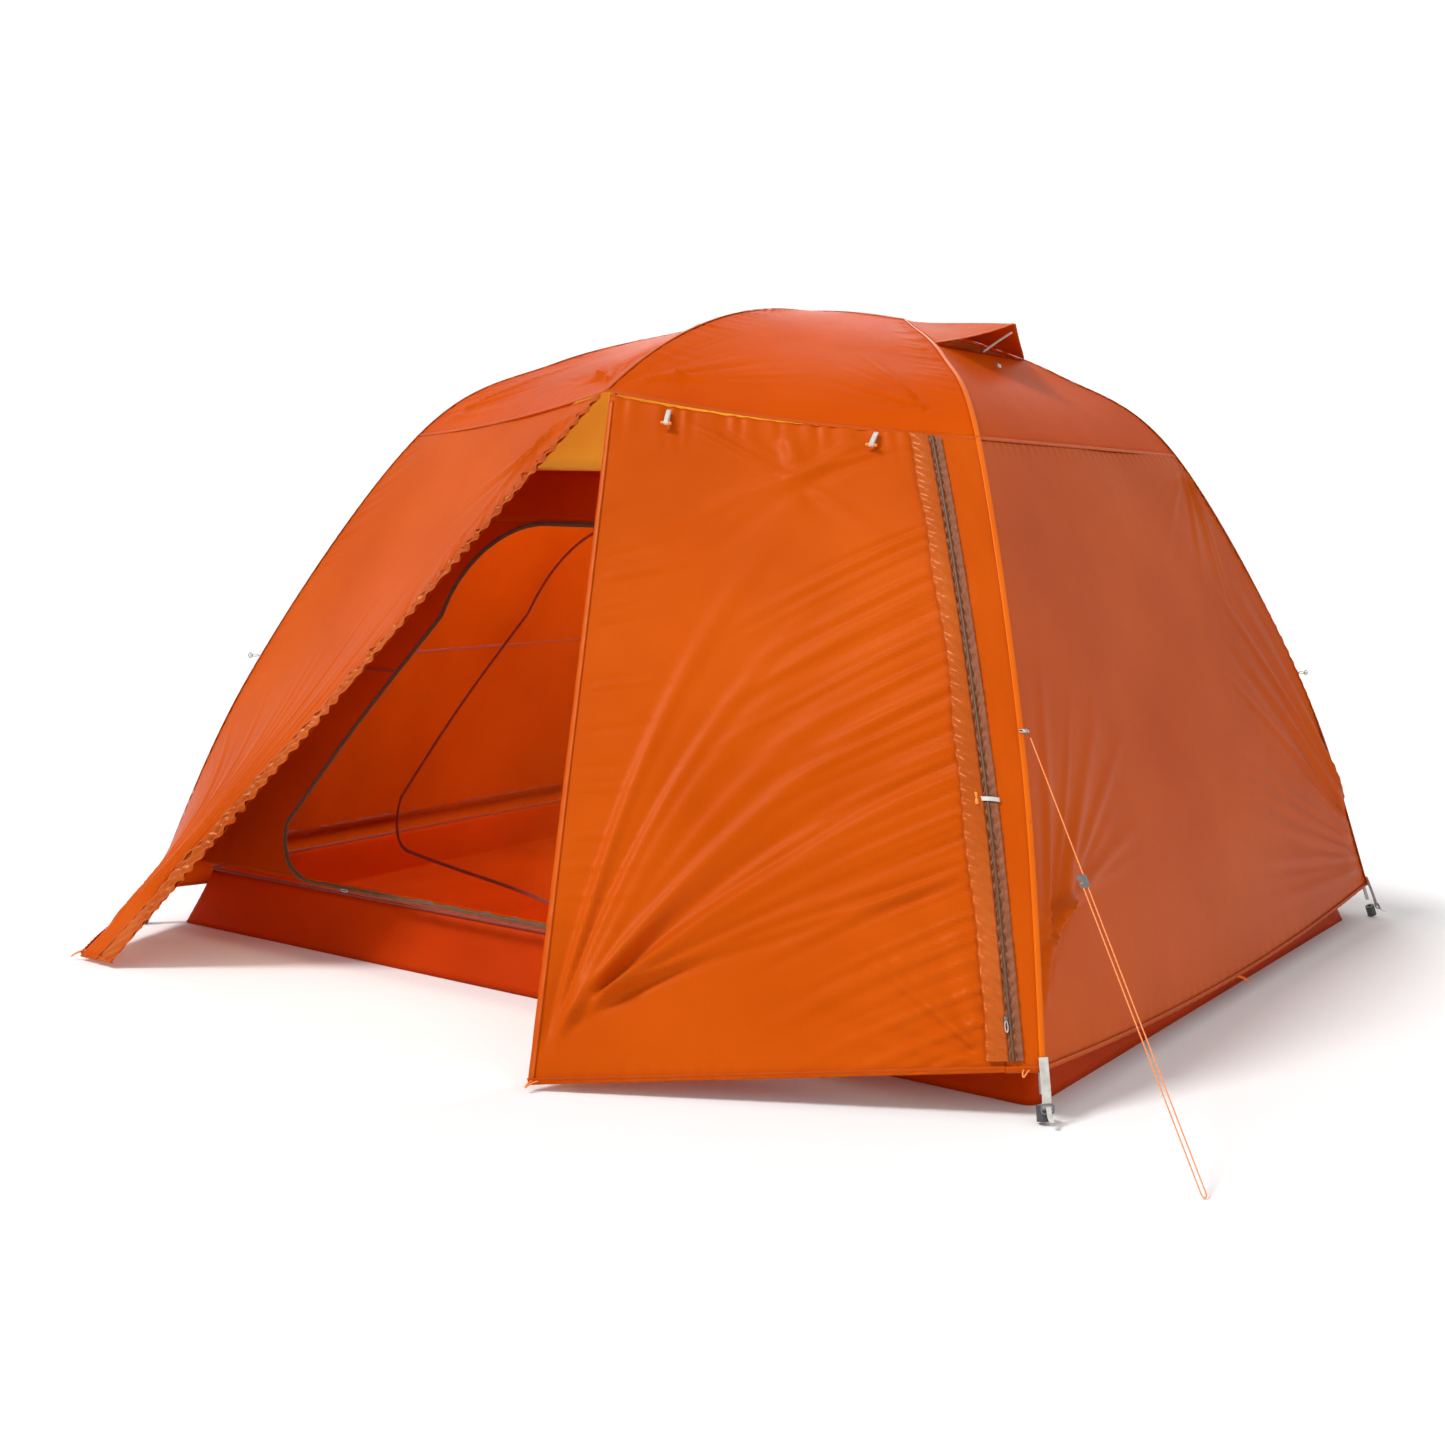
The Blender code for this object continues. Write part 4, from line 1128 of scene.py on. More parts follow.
def ajar(side, point):
    """A point of the near door, turned on its sewn edge to where it stands open."""
    if side == FAR:
        return point
    hinge = Vector((DOOR_RIGHT, side * DOOR_AXIS_Y, 0.0))
    return hinge + Matrix.Rotation(-DOOR_AJAR, 3, "Z") @ (point - hinge)


def leaf_point(side, x, z):
    """Netting sags between its bound edges, with soft hanging folds."""
    _, y = inner_corner(z)
    left = door_left_x(z)
    across = clamp((x - left) / (DOOR_RIGHT - left))
    fold = 0.006 * math.sin(9 * across + 2.2 * z) * math.sin(math.pi * across)
    return ajar(side, Vector((x, side * (y + fold), z)))


def make_leaf(side_name, side, net):
    def build(bm, layer):
        low, high = DOOR_SILL + DOOR_GAP, DOOR_TOP - DOOR_GAP
        rows = [mix(low, high, (z - DOOR_SILL) / (DOOR_TOP - DOOR_SILL)) for z in outline_rows(12)]
        block(bm, layer, 60, rows, lambda z: door_left_x(z) + DOOR_GAP, lambda z: DOOR_RIGHT - DOOR_GAP,
              lambda x, z: leaf_point(side, x, z))

    name = f"{side_name}_netting_door"
    body = f"{side_name}_inner_door_leaf"
    obj = joined_cloth(name, build, [net, net], body, [f"{side_name}_inner_door"])


BINDING_SHARE = 0.982


def door_facing(side):
    """The way that an inner door's upright outer face looks, up its lean."""
    return Vector((0.0, side, 0.36)).normalized()


def make_leaf_binding(side_name, side, look):
    """A dark bound edge round the netting door."""
    middle_x, middle_z = (DOOR_LEFT + DOOR_RIGHT) / 2, (DOOR_SILL + DOOR_TOP) / 2
    points = []
    for p in door_path(side):
        x, z = mix(middle_x, p.x, BINDING_SHARE), mix(middle_z, p.z, BINDING_SHARE)
        points.append(leaf_point(side, x, z))
    facing = door_facing(side)
    line = through([point + facing * 0.0009 for point in points])
    band = ribbon_mesh(f"{side_name}_netting_door_binding", line, lambda t: facing, 0.009, 0.0006, 190)
    finish_piece(band, look, f"{side_name}_inner_door_leaf")


def end_wall_point(end, y_share, z):
    x, y = inner_corner(z)
    u = y_share * 2 - 1
    down = clamp((INNER_TOP_Z - z) / (INNER_TOP_Z - INNER_FOOT_Z))
    x -= INNER_SAG * (1 - u * u) * math.sin(math.pi * down)
    x += edge_puckers(y_share * 2.2, z - POCKET_Z, 9, 0.26, 0.0060, 50.0) if z > POCKET_Z else 0.0
    return Vector((end * x, y * u * 0.996, z))


POCKET_Z = 0.200
SEAM_LIFT = 0.0012


def make_end_wall(end_name, end, solid, net):
    def build(bm, layer):
        rows = split_rows(spread(INNER_FOOT_Z, INNER_TOP_Z, 46))
        block(bm, layer, 90, rows, lambda z: 0.0, lambda z: 1.0, lambda x, z: end_wall_point(end, x, z))
        for face in bm.faces:
            for loop in face.loops:
                loop[layer].uv = (loop.vert.co.y, loop.vert.co.z)

    name = f"{end_name}_end_wall"
    obj = joined_cloth(name, build, [solid, net], TENT, [f"inner_wall_{end_name}"])


def ceiling_surface(u, v):
    near = mix(inner_leg(LEFT, NEAR, INNER_TOP_T), inner_leg(RIGHT, NEAR, INNER_TOP_T), u)
    far = mix(inner_leg(LEFT, FAR, INNER_TOP_T), inner_leg(RIGHT, FAR, INNER_TOP_T), u)
    point = mix(near, far, v)
    rise = HUB.z - CEILING_DROP - near.z
    dome = min(1.0, 2.2 * (1 - abs(2 * u - 1))) * (1 - (2 * v - 1) ** 2)
    return point + Vector((0.0, 0.0, 0.006 + rise * dome))


TUB_CORNER_R = 0.030
TUB_LIFT = 0.0007


def tub_ring(inset, height):
    """A rounded rectangle of the floor's outline, moved in by inset, at a height."""
    half_x, half_y = FLOOR_X - inset - TUB_CORNER_R, FLOOR_Y - inset - TUB_CORNER_R
    ring = []
    for turn, (sx, sy) in enumerate(((1, 1), (-1, 1), (-1, -1), (1, -1))):
        for angle in spread(turn * 90.0, turn * 90.0 + 90.0, 10):
            a = math.radians(angle)
            corner = Vector((math.cos(a), math.sin(a), 0.0)) * TUB_CORNER_R
            ring.append(Vector((sx * half_x, sy * half_y, height)) + corner)
    dense = []
    for a, b in zip(ring, ring[1:] + ring[:1]):
        steps = max(1, round((b - a).length / 0.018))
        dense.extend(mix(a, b, k / steps) for k in range(steps))
    return dense


def tub_slack(point, share):
    """The tub's side waves in and out a little between its corners."""
    along = point.x + point.y
    ease_out = math.sin(math.pi * clamp(share))
    return 0.0022 * ease_out * ripple(along, share, 5.0, 60.0) - 0.0026 * ease_out


def make_tub(look, floor_look):
    """Bathtub floor: its sides lean in, its base lies flat, and its corners are folded round."""
    bm = bmesh.new()
    layer = bm.loops.layers.uv.new("UVMap")
    rings = []
    for share in spread(0.0, 1.0, 9):
        ring = tub_ring(TUB_LEAN * share, mix(TUB_LIFT, TUB_HEIGHT, share))
        for point in ring:
            away = Vector((point.x, point.y, 0.0)).normalized()
            point += away * min(0.0, tub_slack(point, share))
        rings.append([bm.verts.new(point) for point in ring])
    for i, (first, second) in enumerate(zip(rings, rings[1:])):
        count = min(len(first), len(second))
        for k in range(count):
            n = (k + 1) % count
            face = bm.faces.new((first[k], first[n], second[n], second[k]))
            for loop in face.loops:
                loop[layer].uv = (loop.vert.co.x + loop.vert.co.y, loop.vert.co.z)
    base = bm.faces.new(list(reversed(rings[0])))
    base.material_index = 1
    made = bmesh.ops.poke(bm, faces=[base])
    for face in made["faces"]:
        face.material_index = 1
        for loop in face.loops:
            loop[layer].uv = (loop.vert.co.x, loop.vert.co.y)
    obj = thicken(smooth_object("bathtub_floor", bm), 0.0006)
    finish_piece(obj, look, TENT, ["tub_floor"])
    obj.data.materials.append(floor_look)


def door_path(side):
    """The zip's line round the D-shaped opening, from its foot at the sewn edge to its top there."""
    start, left_low = Vector((DOOR_RIGHT - 0.02, DOOR_SILL)), Vector((DOOR_LEFT + DOOR_LOW_R, DOOR_SILL))
    left_high, stop = Vector((DOOR_TOP_LEFT + DOOR_HIGH_R, DOOR_TOP)), Vector((DOOR_RIGHT - 0.02, DOOR_TOP))
    points = [mix(start, left_low, s) for s in spread(0.0, 1.0, 40)]
    points += [Vector((door_left_x(z), z)) for z in outline_rows(16)[1:-1]]
    points += [mix(left_high, stop, s) for s in spread(0.0, 1.0, 26)]
    return [side_wall_point(side, p.x, p.y) for p in points]


def make_door_zip(side_name, side, tape, coil):
    """Zip tape round the door's edge, with the coil standing proud along its middle."""
    facing = door_facing(side)
    points = [p + facing * 0.0016 for p in door_path(side)]
    band = ribbon_mesh(f"{side_name}_door_zip_tape", through(points), lambda t: facing, ZIP_TAPE, CLOTH, 190)
    finish_piece(band, tape, TENT)
    raised = [p + facing * 0.0010 for p in points]
    teeth = zip_coil(f"{side_name}_door_zip_coil", raised, facing, 0.0040, 0.0016)
    finish_piece(teeth, coil, TENT)


COIL_PITCH = 0.0042
COIL_PROFILE = ((-0.5, 0.0), (-0.32, 0.8), (0.0, 1.0), (0.32, 0.8), (0.5, 0.0))


def zip_coil(name, points, facing, width, height):
    """A zip's coil as a low rounded rib, notched across at every tooth."""
    bm = bmesh.new()
    lengths = run_lengths(points)
    steps = int(lengths[-1] / COIL_PITCH)
    rows, i = [], 0
    for step in range(steps + 1):
        place = lengths[-1] * step / steps
        while i < len(points) - 2 and lengths[i + 1] < place:
            i += 1
        share = (place - lengths[i]) / max(lengths[i + 1] - lengths[i], 1e-9)
        point = mix(points[i], points[i + 1], share)
        across, _, up = axes(points[i + 1] - points[i], facing)
        lift = height * (1.0 if step % 2 else 0.55)
        rows.append([bm.verts.new(point + across * width * s + up * h * lift) for s, h in COIL_PROFILE])
    capped_loft(bm, rows)
    return smooth_object(name, bm)


def make_inner_seams(tape):
    """Bound seams of the inner tent: the tub's rim, the netting's lower edge and the end pockets' tops."""
    rim = tub_ring(TUB_LEAN - 0.0015, TUB_HEIGHT + 0.001)
    band = ribbon_mesh("tub_rim_binding", through([*rim, rim[0]]), lambda t: UP, 0.005, 0.0070, 420)
    finish_piece(band, tape, TENT)
    for end_name, end in ENDS.items():
        out = Vector((end, 0.0, 0.0))
        for height, width, label in ((NET_Z, 0.008, "netting"), (POCKET_Z, 0.007, "pocket")):
            line = lambda t, e=end, h=height, o=out: end_wall_point(e, mix(0.01, 0.99, t), h) - o * SEAM_LIFT
            band = ribbon_mesh(f"{end_name}_{label}_seam", line, lambda t, o=out: -o, width, CLOTH, 60)
            finish_piece(band, tape, TENT)
    for side_name, side in SIDES.items():
        out = Vector((0.0, side, 0.0))
        left, right = -inner_corner(NET_Z)[0] + 0.01, door_left_x(NET_Z) - 0.012
        for label, low, high in (("left", left, right), ("right", DOOR_RIGHT + 0.004, -left)):
            line = lambda t, a=low, b=high, s=side: (
                side_wall_point(s, mix(a, b, t), NET_Z) + Vector((0.0, s * SEAM_LIFT, 0.0))
            )
            name = f"{side_name}_{label}_netting_seam"
            band = ribbon_mesh(name, line, lambda t, o=out: o, 0.008, CLOTH, 40)
            finish_piece(band, tape, TENT)


def make_inner(solid, net, sheer, tub, floor_look, tape, zip_tape, coil):
    make_tub(tub, floor_look)
    for side_name, side in SIDES.items():
        make_side_wall(side_name, side, solid, net)
        make_leaf(side_name, side, sheer)
        make_leaf_binding(side_name, side, tape)
        make_door_zip(side_name, side, zip_tape, coil)
    for end_name, end in ENDS.items():
        make_end_wall(end_name, end, solid, net)
    surface = relief(ceiling_surface, lambda u, v: 0.002 * ripple(u, v, 4.0, 70.0))
    obj = cloth_piece("netting_ceiling", surface, 60, 44, (1.6, 1.2), net, TENT, ["inner_ceiling"])
    make_inner_seams(tape)


# Seams, hems and zips of the rain fly


SEAM_WIDTH, LOW_SEAM_WIDTH, HEM_WIDTH = 0.013, 0.010, 0.015


def band_on(name, line, width, look, body, steps, lift=0.0010):
    """A stitched band laid on the cloth along a line, facing outwards."""
    facing = outward(line)

    def raised(t):
        return line(t) + facing(t).normalized() * lift

    obj = ribbon_mesh(name, raised, facing, width, THIN_CLOTH, steps, crown=0.0006)
    return finish_piece(obj, look, body)


def outward(line):
    return lambda t: line(t) - POLE_CORE


def make_roof_seams(look, low_look):
    """Bands over the legs, the ridge and the cross pole, and the cap's lower seam."""
    for where, end, side in CORNERS:
        over = lambda t, e=end, s=side: leg(e, s, mix(0.995, KNEE_T, t))
        band_on(f"{where}_upper_leg_seam", over, SEAM_WIDTH, look, TENT, 110)
        under = lambda t, e=end, s=side: leg(e, s, mix(KNEE_T, HEM_T, t))
        band_on(f"{where}_lower_leg_seam", under, SEAM_WIDTH, look, TENT, 130)
        low = lambda t, e=end, s=side: seam(e, s, t)
        band_on(f"{where}_cap_seam", low, LOW_SEAM_WIDTH, low_look, TENT, 110)
    for end_name, end in ENDS.items():
        knee = lambda t, e=end: mix(leg(e, NEAR, KNEE_T), leg(e, FAR, KNEE_T), t)
        band_on(f"{end_name}_cap_seam", knee, LOW_SEAM_WIDTH, low_look, TENT, 150)
    for side_name, side in SIDES.items():
        line = lambda t, s=side: brow(s, t)
        band_on(f"{side_name}_brow_seam", line, LOW_SEAM_WIDTH, low_look, TENT, 110)
    band_on("ridge_seam", ridge, SEAM_WIDTH, look, TENT, 60)


def edge_of(surface, height, fixed_u=None, fixed_v=None, reach=(0.0, 1.0)):
    """One edge of a relief surface as a line."""
    shaped = relief(surface, height)
    if fixed_u is not None:
        return lambda t: shaped(fixed_u, mix(*reach, t))
    return lambda t: shaped(mix(*reach, t), fixed_v)


def make_hems(look):
    for end_name, end in ENDS.items():
        line = edge_of(lambda u, v, e=end: end_panel(e, u, v), end_height, fixed_v=0.996)
        band_on(f"{end_name}_end_hem", line, HEM_WIDTH, look, TENT, 150)
    for side_name, side in SIDES.items():
        door = lambda u, v, s=side: door_panel(s, u, v)
        left = lambda u, v, s=side: vestibule_left(s, u, v)
        strip = lambda u, v, s=side: zip_strip(s, u, v)
        line = edge_of(door, door_height, fixed_v=0.995)
        band_on(f"{side_name}_door_hem", line, HEM_WIDTH, look, AWNINGS[side], 170)
        line = edge_of(door, door_height, fixed_u=0.008, reach=(0.01, 1.0))
        band_on(f"{side_name}_door_edge_band", line, 0.011, look, AWNINGS[side], 190)
        line = edge_of(left, left_panel_height, fixed_v=0.996)
        band_on(f"{side_name}_vestibule_hem", line, HEM_WIDTH, look, TENT, 150)
        line = edge_of(strip, strip_height, fixed_v=0.996)
        band_on(f"{side_name}_strip_hem", line, HEM_WIDTH, look, TENT, 12)


def flap_width(v):
    return mix(0.030, 0.105, ease(v * 0.9))


def storm_flap_surface(side):
    """The left panel's storm flap: a doubled band along its free edge, gathered by the zip's stitching."""

    def base(u, v):
        return vestibule_left(side, mix(1 - flap_width(v), 0.999, u), v)

    def height(u, v):
        edge = left_panel_height(mix(1 - flap_width(v), 0.999, u), v)
        crinkle = 0.0060 * wave(v + 0.035 * u + 0.010 * ripple(v * 8, 0.3, 3.0, 81.0), 46)
        crinkle *= 0.35 + 0.65 * abs(ripple(v, u * 0.2, 9.0, 80.0)) * 1.6
        return edge + 0.0030 + crinkle * (0.3 + 0.7 * u) + 0.0012 * ripple(v * 20, u * 3, 2.0, 83.0)

    return relief(base, height)


def make_storm_flaps(look, binding):
    for side_name, side in SIDES.items():
        surface = storm_flap_surface(side)
        name = f"{side_name}_storm_flap"
        obj = cloth_piece(name, surface, 10, 420, (0.06, 1.75), look, TENT, thickness=THIN_CLOTH)
        for label, u in (("outer", 1.0), ("inner", 0.0)):
            line = lambda t, f=surface, k=u: f(k, t)
            band_on(f"{name}_{label}_binding", line, 0.006, binding, TENT, 420, 0.0006)


def fly_zip_place(side, u, v, lift):
    """A point beside the fly zip: u is metres across it towards the leg, and lift stands off the cloth."""
    across = (leg(RIGHT, side, panel_t(v)) - door_edge(side, v)).normalized()
    return zip_line(side, v) + across * u + panel_facing(side, v) * lift


ZIP_FROM, ZIP_TO = 0.010, 0.985
ZIP_BAND = 0.034
ZIP_CRINKLE = 0.0046


def zip_band_surface(side):
    """The zip's wide tape: crinkled where the cloth was gathered in sewing."""

    def surface(u, v):
        place = mix(ZIP_FROM, ZIP_TO, v)
        crinkle = wave(place + 0.012 * ripple(place, u * 0.3, 22.0, 90.0), 58)
        crinkle *= 0.5 + 0.8 * abs(ripple(place, u, 12.0, 91.0))
        blister = 0.0016 * ripple(place * 26, u * 2.4, 1.4, 92.0)
        edge = math.sin(math.pi * clamp(0.08 + 0.84 * u))
        lift = 0.0035 + ZIP_CRINKLE * crinkle * edge + blister
        return fly_zip_place(side, 0.002 + ZIP_BAND * u, place, lift)

    return surface


def flap_cover_surface(side):
    """The narrow cloth cover that half hides the zip, sewn to the leg strip's edge."""

    def surface(u, v):
        place = mix(ZIP_FROM, ZIP_TO, v)
        width = 0.050 * (0.85 + 0.15 * ripple(place, 0.0, 9.0, 95.0))
        crinkle = 0.0058 * wave(place + 0.02 * u + 0.014 * ripple(place, 0.4, 16.0, 96.0), 40)
        crinkle *= 0.45 + 0.9 * abs(ripple(place, u * 0.4, 8.0, 97.0))
        roll = 0.0045 * math.sin(math.pi * clamp(u))
        return fly_zip_place(side, 0.008 - width * u, place, 0.0060 + roll + crinkle * (0.3 + 0.7 * u))

    return surface


def make_fly_zips(tape, cover, coil):
    for side_name, side in SIDES.items():
        obj = cloth_piece(f"{side_name}_fly_zip_tape", zip_band_surface(side), 12, 520, (ZIP_BAND, 1.4), tape,
                          TENT, thickness=THIN_CLOTH)
        obj = cloth_piece(f"{side_name}_zip_cover", flap_cover_surface(side), 10, 480, (0.03, 1.4), cover,
                          TENT, thickness=THIN_CLOTH)
        points = [fly_zip_place(side, 0.016, mix(ZIP_FROM, ZIP_TO, t), 0.0078) for t in spread(0.0, 1.0, 70)]
        teeth = zip_coil(f"{side_name}_fly_zip_coil", points, panel_facing(side, 0.5), 0.0052, 0.0020)
        finish_piece(teeth, coil, TENT)


# Roof vent


HOOD_TIP = Vector((0.622, 0.0, 1.606))
HOOD_TOP_T = 0.985
STRUT_FOOT = Vector((0.530, 0.0, 1.542))
STRUT_TOP = Vector((0.610, 0.0, 1.590))
STRUT_WIDTH, STRUT_THICK = 0.012, 0.0024
VENT_TOP_T = 0.975
VENT_MESH_DROP = 0.030


def hood_point(u, v):
    """The hood rises from the two legs to a peak at the strut, like an eyebrow."""
    t = mix(HOOD_TOP_T, VENT_T + 0.004, v)
    point = mix(leg(RIGHT, NEAR, t), leg(RIGHT, FAR, t), mix(0.012, 0.988, u))
    middle = mix(leg(RIGHT, NEAR, VENT_T), leg(RIGHT, FAR, VENT_T), 0.5)
    crown = (1 - abs(2 * u - 1)) ** 0.92
    lift = HOOD_TIP - middle
    return point + lift * crown * v**1.15 + Vector((0.0, 0.0, 0.0025))


def hood_height(u, v):
    sag = -0.007 * math.sin(math.tau * abs(2 * u - 1) * 0.5) * v
    return sag + edge_puckers(u, 1 - v, 20, 0.2, 0.0010, 71.0) + 0.0006 * ripple(u, v, 9.0, 72.0)


def vent_mesh_point(u, v):
    t = mix(VENT_TOP_T, VENT_T + 0.008, v)
    point = mix(leg(RIGHT, NEAR, t), leg(RIGHT, FAR, t), mix(0.06, 0.94, u))
    point.z -= VENT_MESH_DROP * math.sin(math.pi * u) ** 0.5 * (1 - 0.6 * v) + 0.004
    return point


def vent_line(t, share):
    """A point between the two right legs, at a station up them."""
    return mix(leg(RIGHT, NEAR, t), leg(RIGHT, FAR, t), share)


def make_vent(cloth, band, net, webbing):
    surface = relief(hood_point, hood_height)
    hood = cloth_piece("vent_hood_cloth", surface, 60, 28, (0.45, 0.30), cloth, None,
                       ["vent_hood"])
    rim_line = lambda t: surface(t, 0.985) + Vector((0.0, 0.0, 0.0004))
    rim = ribbon_mesh("vent_hood_rim", rim_line, lambda t: Vector((0.25, 0, 1)), 0.010, THIN_CLOTH, 80,
                      0.0004)
    finish_piece(rim, band, None)
    low = vent_line(VENT_T, 0.5)
    for piece in (hood, rim):
        tuple(low)
        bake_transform(piece)
    obj = cloth_piece("vent_netting", vent_mesh_point, 44, 22, (0.4, 0.2), net, TENT,
                      ["vent_mesh"])
    edge = lambda t: vent_line(VENT_T, mix(0.02, 0.98, t)) + Vector((0, 0, -0.003))
    band_on("vent_lower_binding", edge, 0.012, band, TENT, 80)
    make_strut(webbing)
    tab = vent_line(0.745, 0.44)
    out = tab - POLE_CORE
    along = (leg(RIGHT, NEAR, 0.70) - leg(RIGHT, NEAR, 0.80)).normalized()
    loop = strap_loop("vent_tab", tab + out.normalized() * 0.001, along, out, 0.010, 0.022)
    finish_piece(loop, webbing, TENT)


def make_strut(look):
    """A stiffened webbing strut with rounded ends, its foot sewn to the vent's lower edge."""
    run = STRUT_TOP - STRUT_FOOT
    count, half = 24, STRUT_WIDTH / 2
    bm = bmesh.new()
    layer = bm.loops.layers.uv.new("UVMap")
    across = Vector((0.0, 1.0, 0.0))
    normal = run.normalized().cross(across).normalized()
    rows = []
    for s in spread(0.0, 1.0, count + 1):
        end = min(s, 1 - s) * run.length
        width = half if end > half else math.sqrt(max(half**2 - (half - end) ** 2, 1e-8))
        centre = STRUT_FOOT + run * s + normal * 0.0012 * math.sin(math.pi * s)
        rows.append([bm.verts.new(centre + across * width * k) for k in (-1.0, -0.5, 0.0, 0.5, 1.0)])
    skin(bm, layer, rows, lambda row, part: (part / 4 * STRUT_WIDTH, row / count * run.length))
    obj = thicken(smooth_object("vent_prop", bm), STRUT_THICK * 0.8)
    finish_piece(obj, look, "vent_strut", ["vent_strut"])


def strap_loop(name, place, along, facing, width, length, thickness=0.0011, sag=0.004):
    """A sewn tab of webbing: flat at its root, folded back on itself into a short loop."""
    across, along, normal = axes(along, facing)
    points = []
    for s in spread(0.0, 1.0, 9):
        points.append(place + along * length * s + normal * (thickness + sag * math.sin(math.pi * s * 0.9)))
    for s in spread(0.0, 1.0, 7)[1:-1]:
        angle = math.pi * s
        beyond = length + 0.002 * math.sin(angle)
        points.append(place + along * beyond + normal * (thickness * (1 - 2 * s) + 0.001))
    for s in spread(1.0, 0.0, 9):
        points.append(place + along * length * s + normal * (-thickness * 0.2 + 0.0002))
    return band_mesh(name, points, across, width, thickness)


WEBBING_COLUMNS = (-0.5, -0.44, 0.0, 0.44, 0.5)


def band_mesh(name, points, across, width, thickness):
    """Webbing bent along points that all lie in one plane square to across."""
    bm = bmesh.new()
    layer = bm.loops.layers.uv.new("UVMap")
    lengths = run_lengths(points)
    rows = [[bm.verts.new(point + across * width * s) for s in WEBBING_COLUMNS] for point in points]
    skin(bm, layer, rows, lambda row, part: ((WEBBING_COLUMNS[part] + 0.5) * width, lengths[row]))
    return thicken(smooth_object(name, bm), thickness)


# Toggles, sliders and loops


TOGGLE_R, TOGGLE_LENGTH = 0.0040, 0.027
TOGGLE_DROP, TOGGLE_STANDOFF = 0.034, 0.010
TOGGLE_PLACES = (0.17, 0.73)
TOGGLE_V = 0.02


def spun(name, profile, place, axis, steps=28):
    """A turned piece from a (radius, height) profile about an axis through the place."""
    bm = bmesh.new()
    rings = []
    across = axis.orthogonal().normalized()
    other = axis.cross(across).normalized()
    for radius, height in profile:
        centre = place + axis * height
        if radius < 1e-6:
            rings.append([bm.verts.new(centre)])
            continue
        ring = []
        for k in range(steps):
            a = math.tau * k / steps
            ring.append(bm.verts.new(centre + (across * math.cos(a) + other * math.sin(a)) * radius))
        rings.append(ring)
    for first, second in zip(rings, rings[1:]):
        for k in range(steps):
            n = (k + 1) % steps
            low, high = len(first), len(second)
            corners = (first[k % low], first[n % low], second[n % high], second[k % high])
            unique = list(dict.fromkeys(corners))
            if len(unique) > 2:
                bm.faces.new(unique)
    bmesh.ops.recalc_face_normals(bm, faces=bm.faces)
    return smooth_object(name, bm)


def toggle_profile():
    """A toggle's outline: rounded ends, three grip rings and a waist where its loop sits."""
    half, profile = TOGGLE_LENGTH / 2, [(0.0, -TOGGLE_LENGTH / 2)]
    for i in range(1, 60):
        z = -half + TOGGLE_LENGTH * i / 60
        end = half - abs(z)
        radius = TOGGLE_R
        if end <= TOGGLE_R * 0.8:
            radius *= math.sqrt(1 - (1 - end / (TOGGLE_R * 0.8)) ** 2 * 0.85)
        radius -= 0.0011 * crease(z, 0.0030)
        for ring in (0.0070, 0.0090, 0.0110):
            radius -= 0.0004 * crease(abs(z) - ring, 0.0006)
        profile.append((radius, z))
    profile.append((0.0, half))
    return profile


def make_toggle(side_name, side, index, place, look, webbing):
    face = mix(door_edge(side, TOGGLE_V), zip_line(side, TOGGLE_V), place / ZIP_TOP_U)
    lower = mix(door_edge(side, 0.2), zip_line(side, 0.2), place)
    down = (lower - face).normalized()
    along = (zip_line(side, TOGGLE_V) - door_edge(side, TOGGLE_V)).normalized()
    normal = turned(along.cross(down), Vector((0.0, side, 0.0)))
    middle = face + down * TOGGLE_DROP + normal * TOGGLE_STANDOFF
    body = f"{side_name}_toggle_{index}"
    obj = spun(f"{body}_bar", toggle_profile(), middle, along)
    finish_piece(obj, look, body, [body])
    root = face - down * 0.006 + normal * 0.0035
    points = [mix(root, middle + normal * 0.0036 - down * 0.003, s) + normal * 0.0015 * math.sin(math.pi * s)
              for s in spread(0.0, 1.0, 9)]
    for angle in spread(100.0, -80.0, 12):
        a = math.radians(angle)
        points.append(middle + (normal * math.sin(a) + down * math.cos(a)) * (TOGGLE_R - 0.0002))
    points += [mix(points[-1], root - normal * 0.0012, s) for s in spread(0.0, 1.0, 8)[1:]]
    tab = band_mesh(f"{body}_tab", points, along, 0.010, 0.0009)
    finish_piece(tab, webbing, AWNINGS[side])


SLIDER_STANDOFF = 0.009
SLIDER_V = 0.93
INNER_SLIDER_X = -0.640


def make_slider(name, place, across, along, normal, look, pull_look, body, replaced):
    """A zip slider: a waisted body, a bridge over it and a pull tab that lies along the zip."""
    outline = ((-0.50, 0.62), (-0.34, 0.95), (0.0, 0.60), (0.34, 0.90), (0.50, 0.55))
    bm = bmesh.new()
    length, half, thick = 0.013, 0.0048, 0.0038
    rows = []
    for s, w in outline:
        centre = place + along * (length * s - 0.006)
        ring = []
        for angle in spread(0.0, math.tau, 13)[:-1]:
            wide, high = math.cos(angle), math.sin(angle)
            ring.append(bm.verts.new(centre + across * half * w * wide + normal * thick / 2 * high))
        rows.append(ring)
    capped_loft(bm, rows)
    obj = smooth_object(name, bm)
    detail = obj.modifiers.new("soft", "SUBSURF")
    detail.levels = detail.render_levels = 2
    finish_piece(obj, look, body, [replaced])
    start, stop = place - along * 0.0105, place - along * 0.0015
    arch = [
        mix(start, stop, s) + normal * (0.0012 + 0.0030 * math.sin(math.pi * s)) for s in spread(0.0, 1.0, 12)
    ]
    bridge = tube_mesh(f"{name}_bridge", arch, 0.0008)
    finish_piece(bridge, look, body)
    tab = []
    for a in spread(0.0, math.tau, 41):
        middle = place + along * (0.0075 + 0.0105 * math.sin(a))
        tab.append(middle + across * 0.0028 * math.cos(a) + normal * 0.0022)
    pull = tube_mesh(f"{name}_pull", tab, 0.0011)
    finish_piece(pull, pull_look, body)


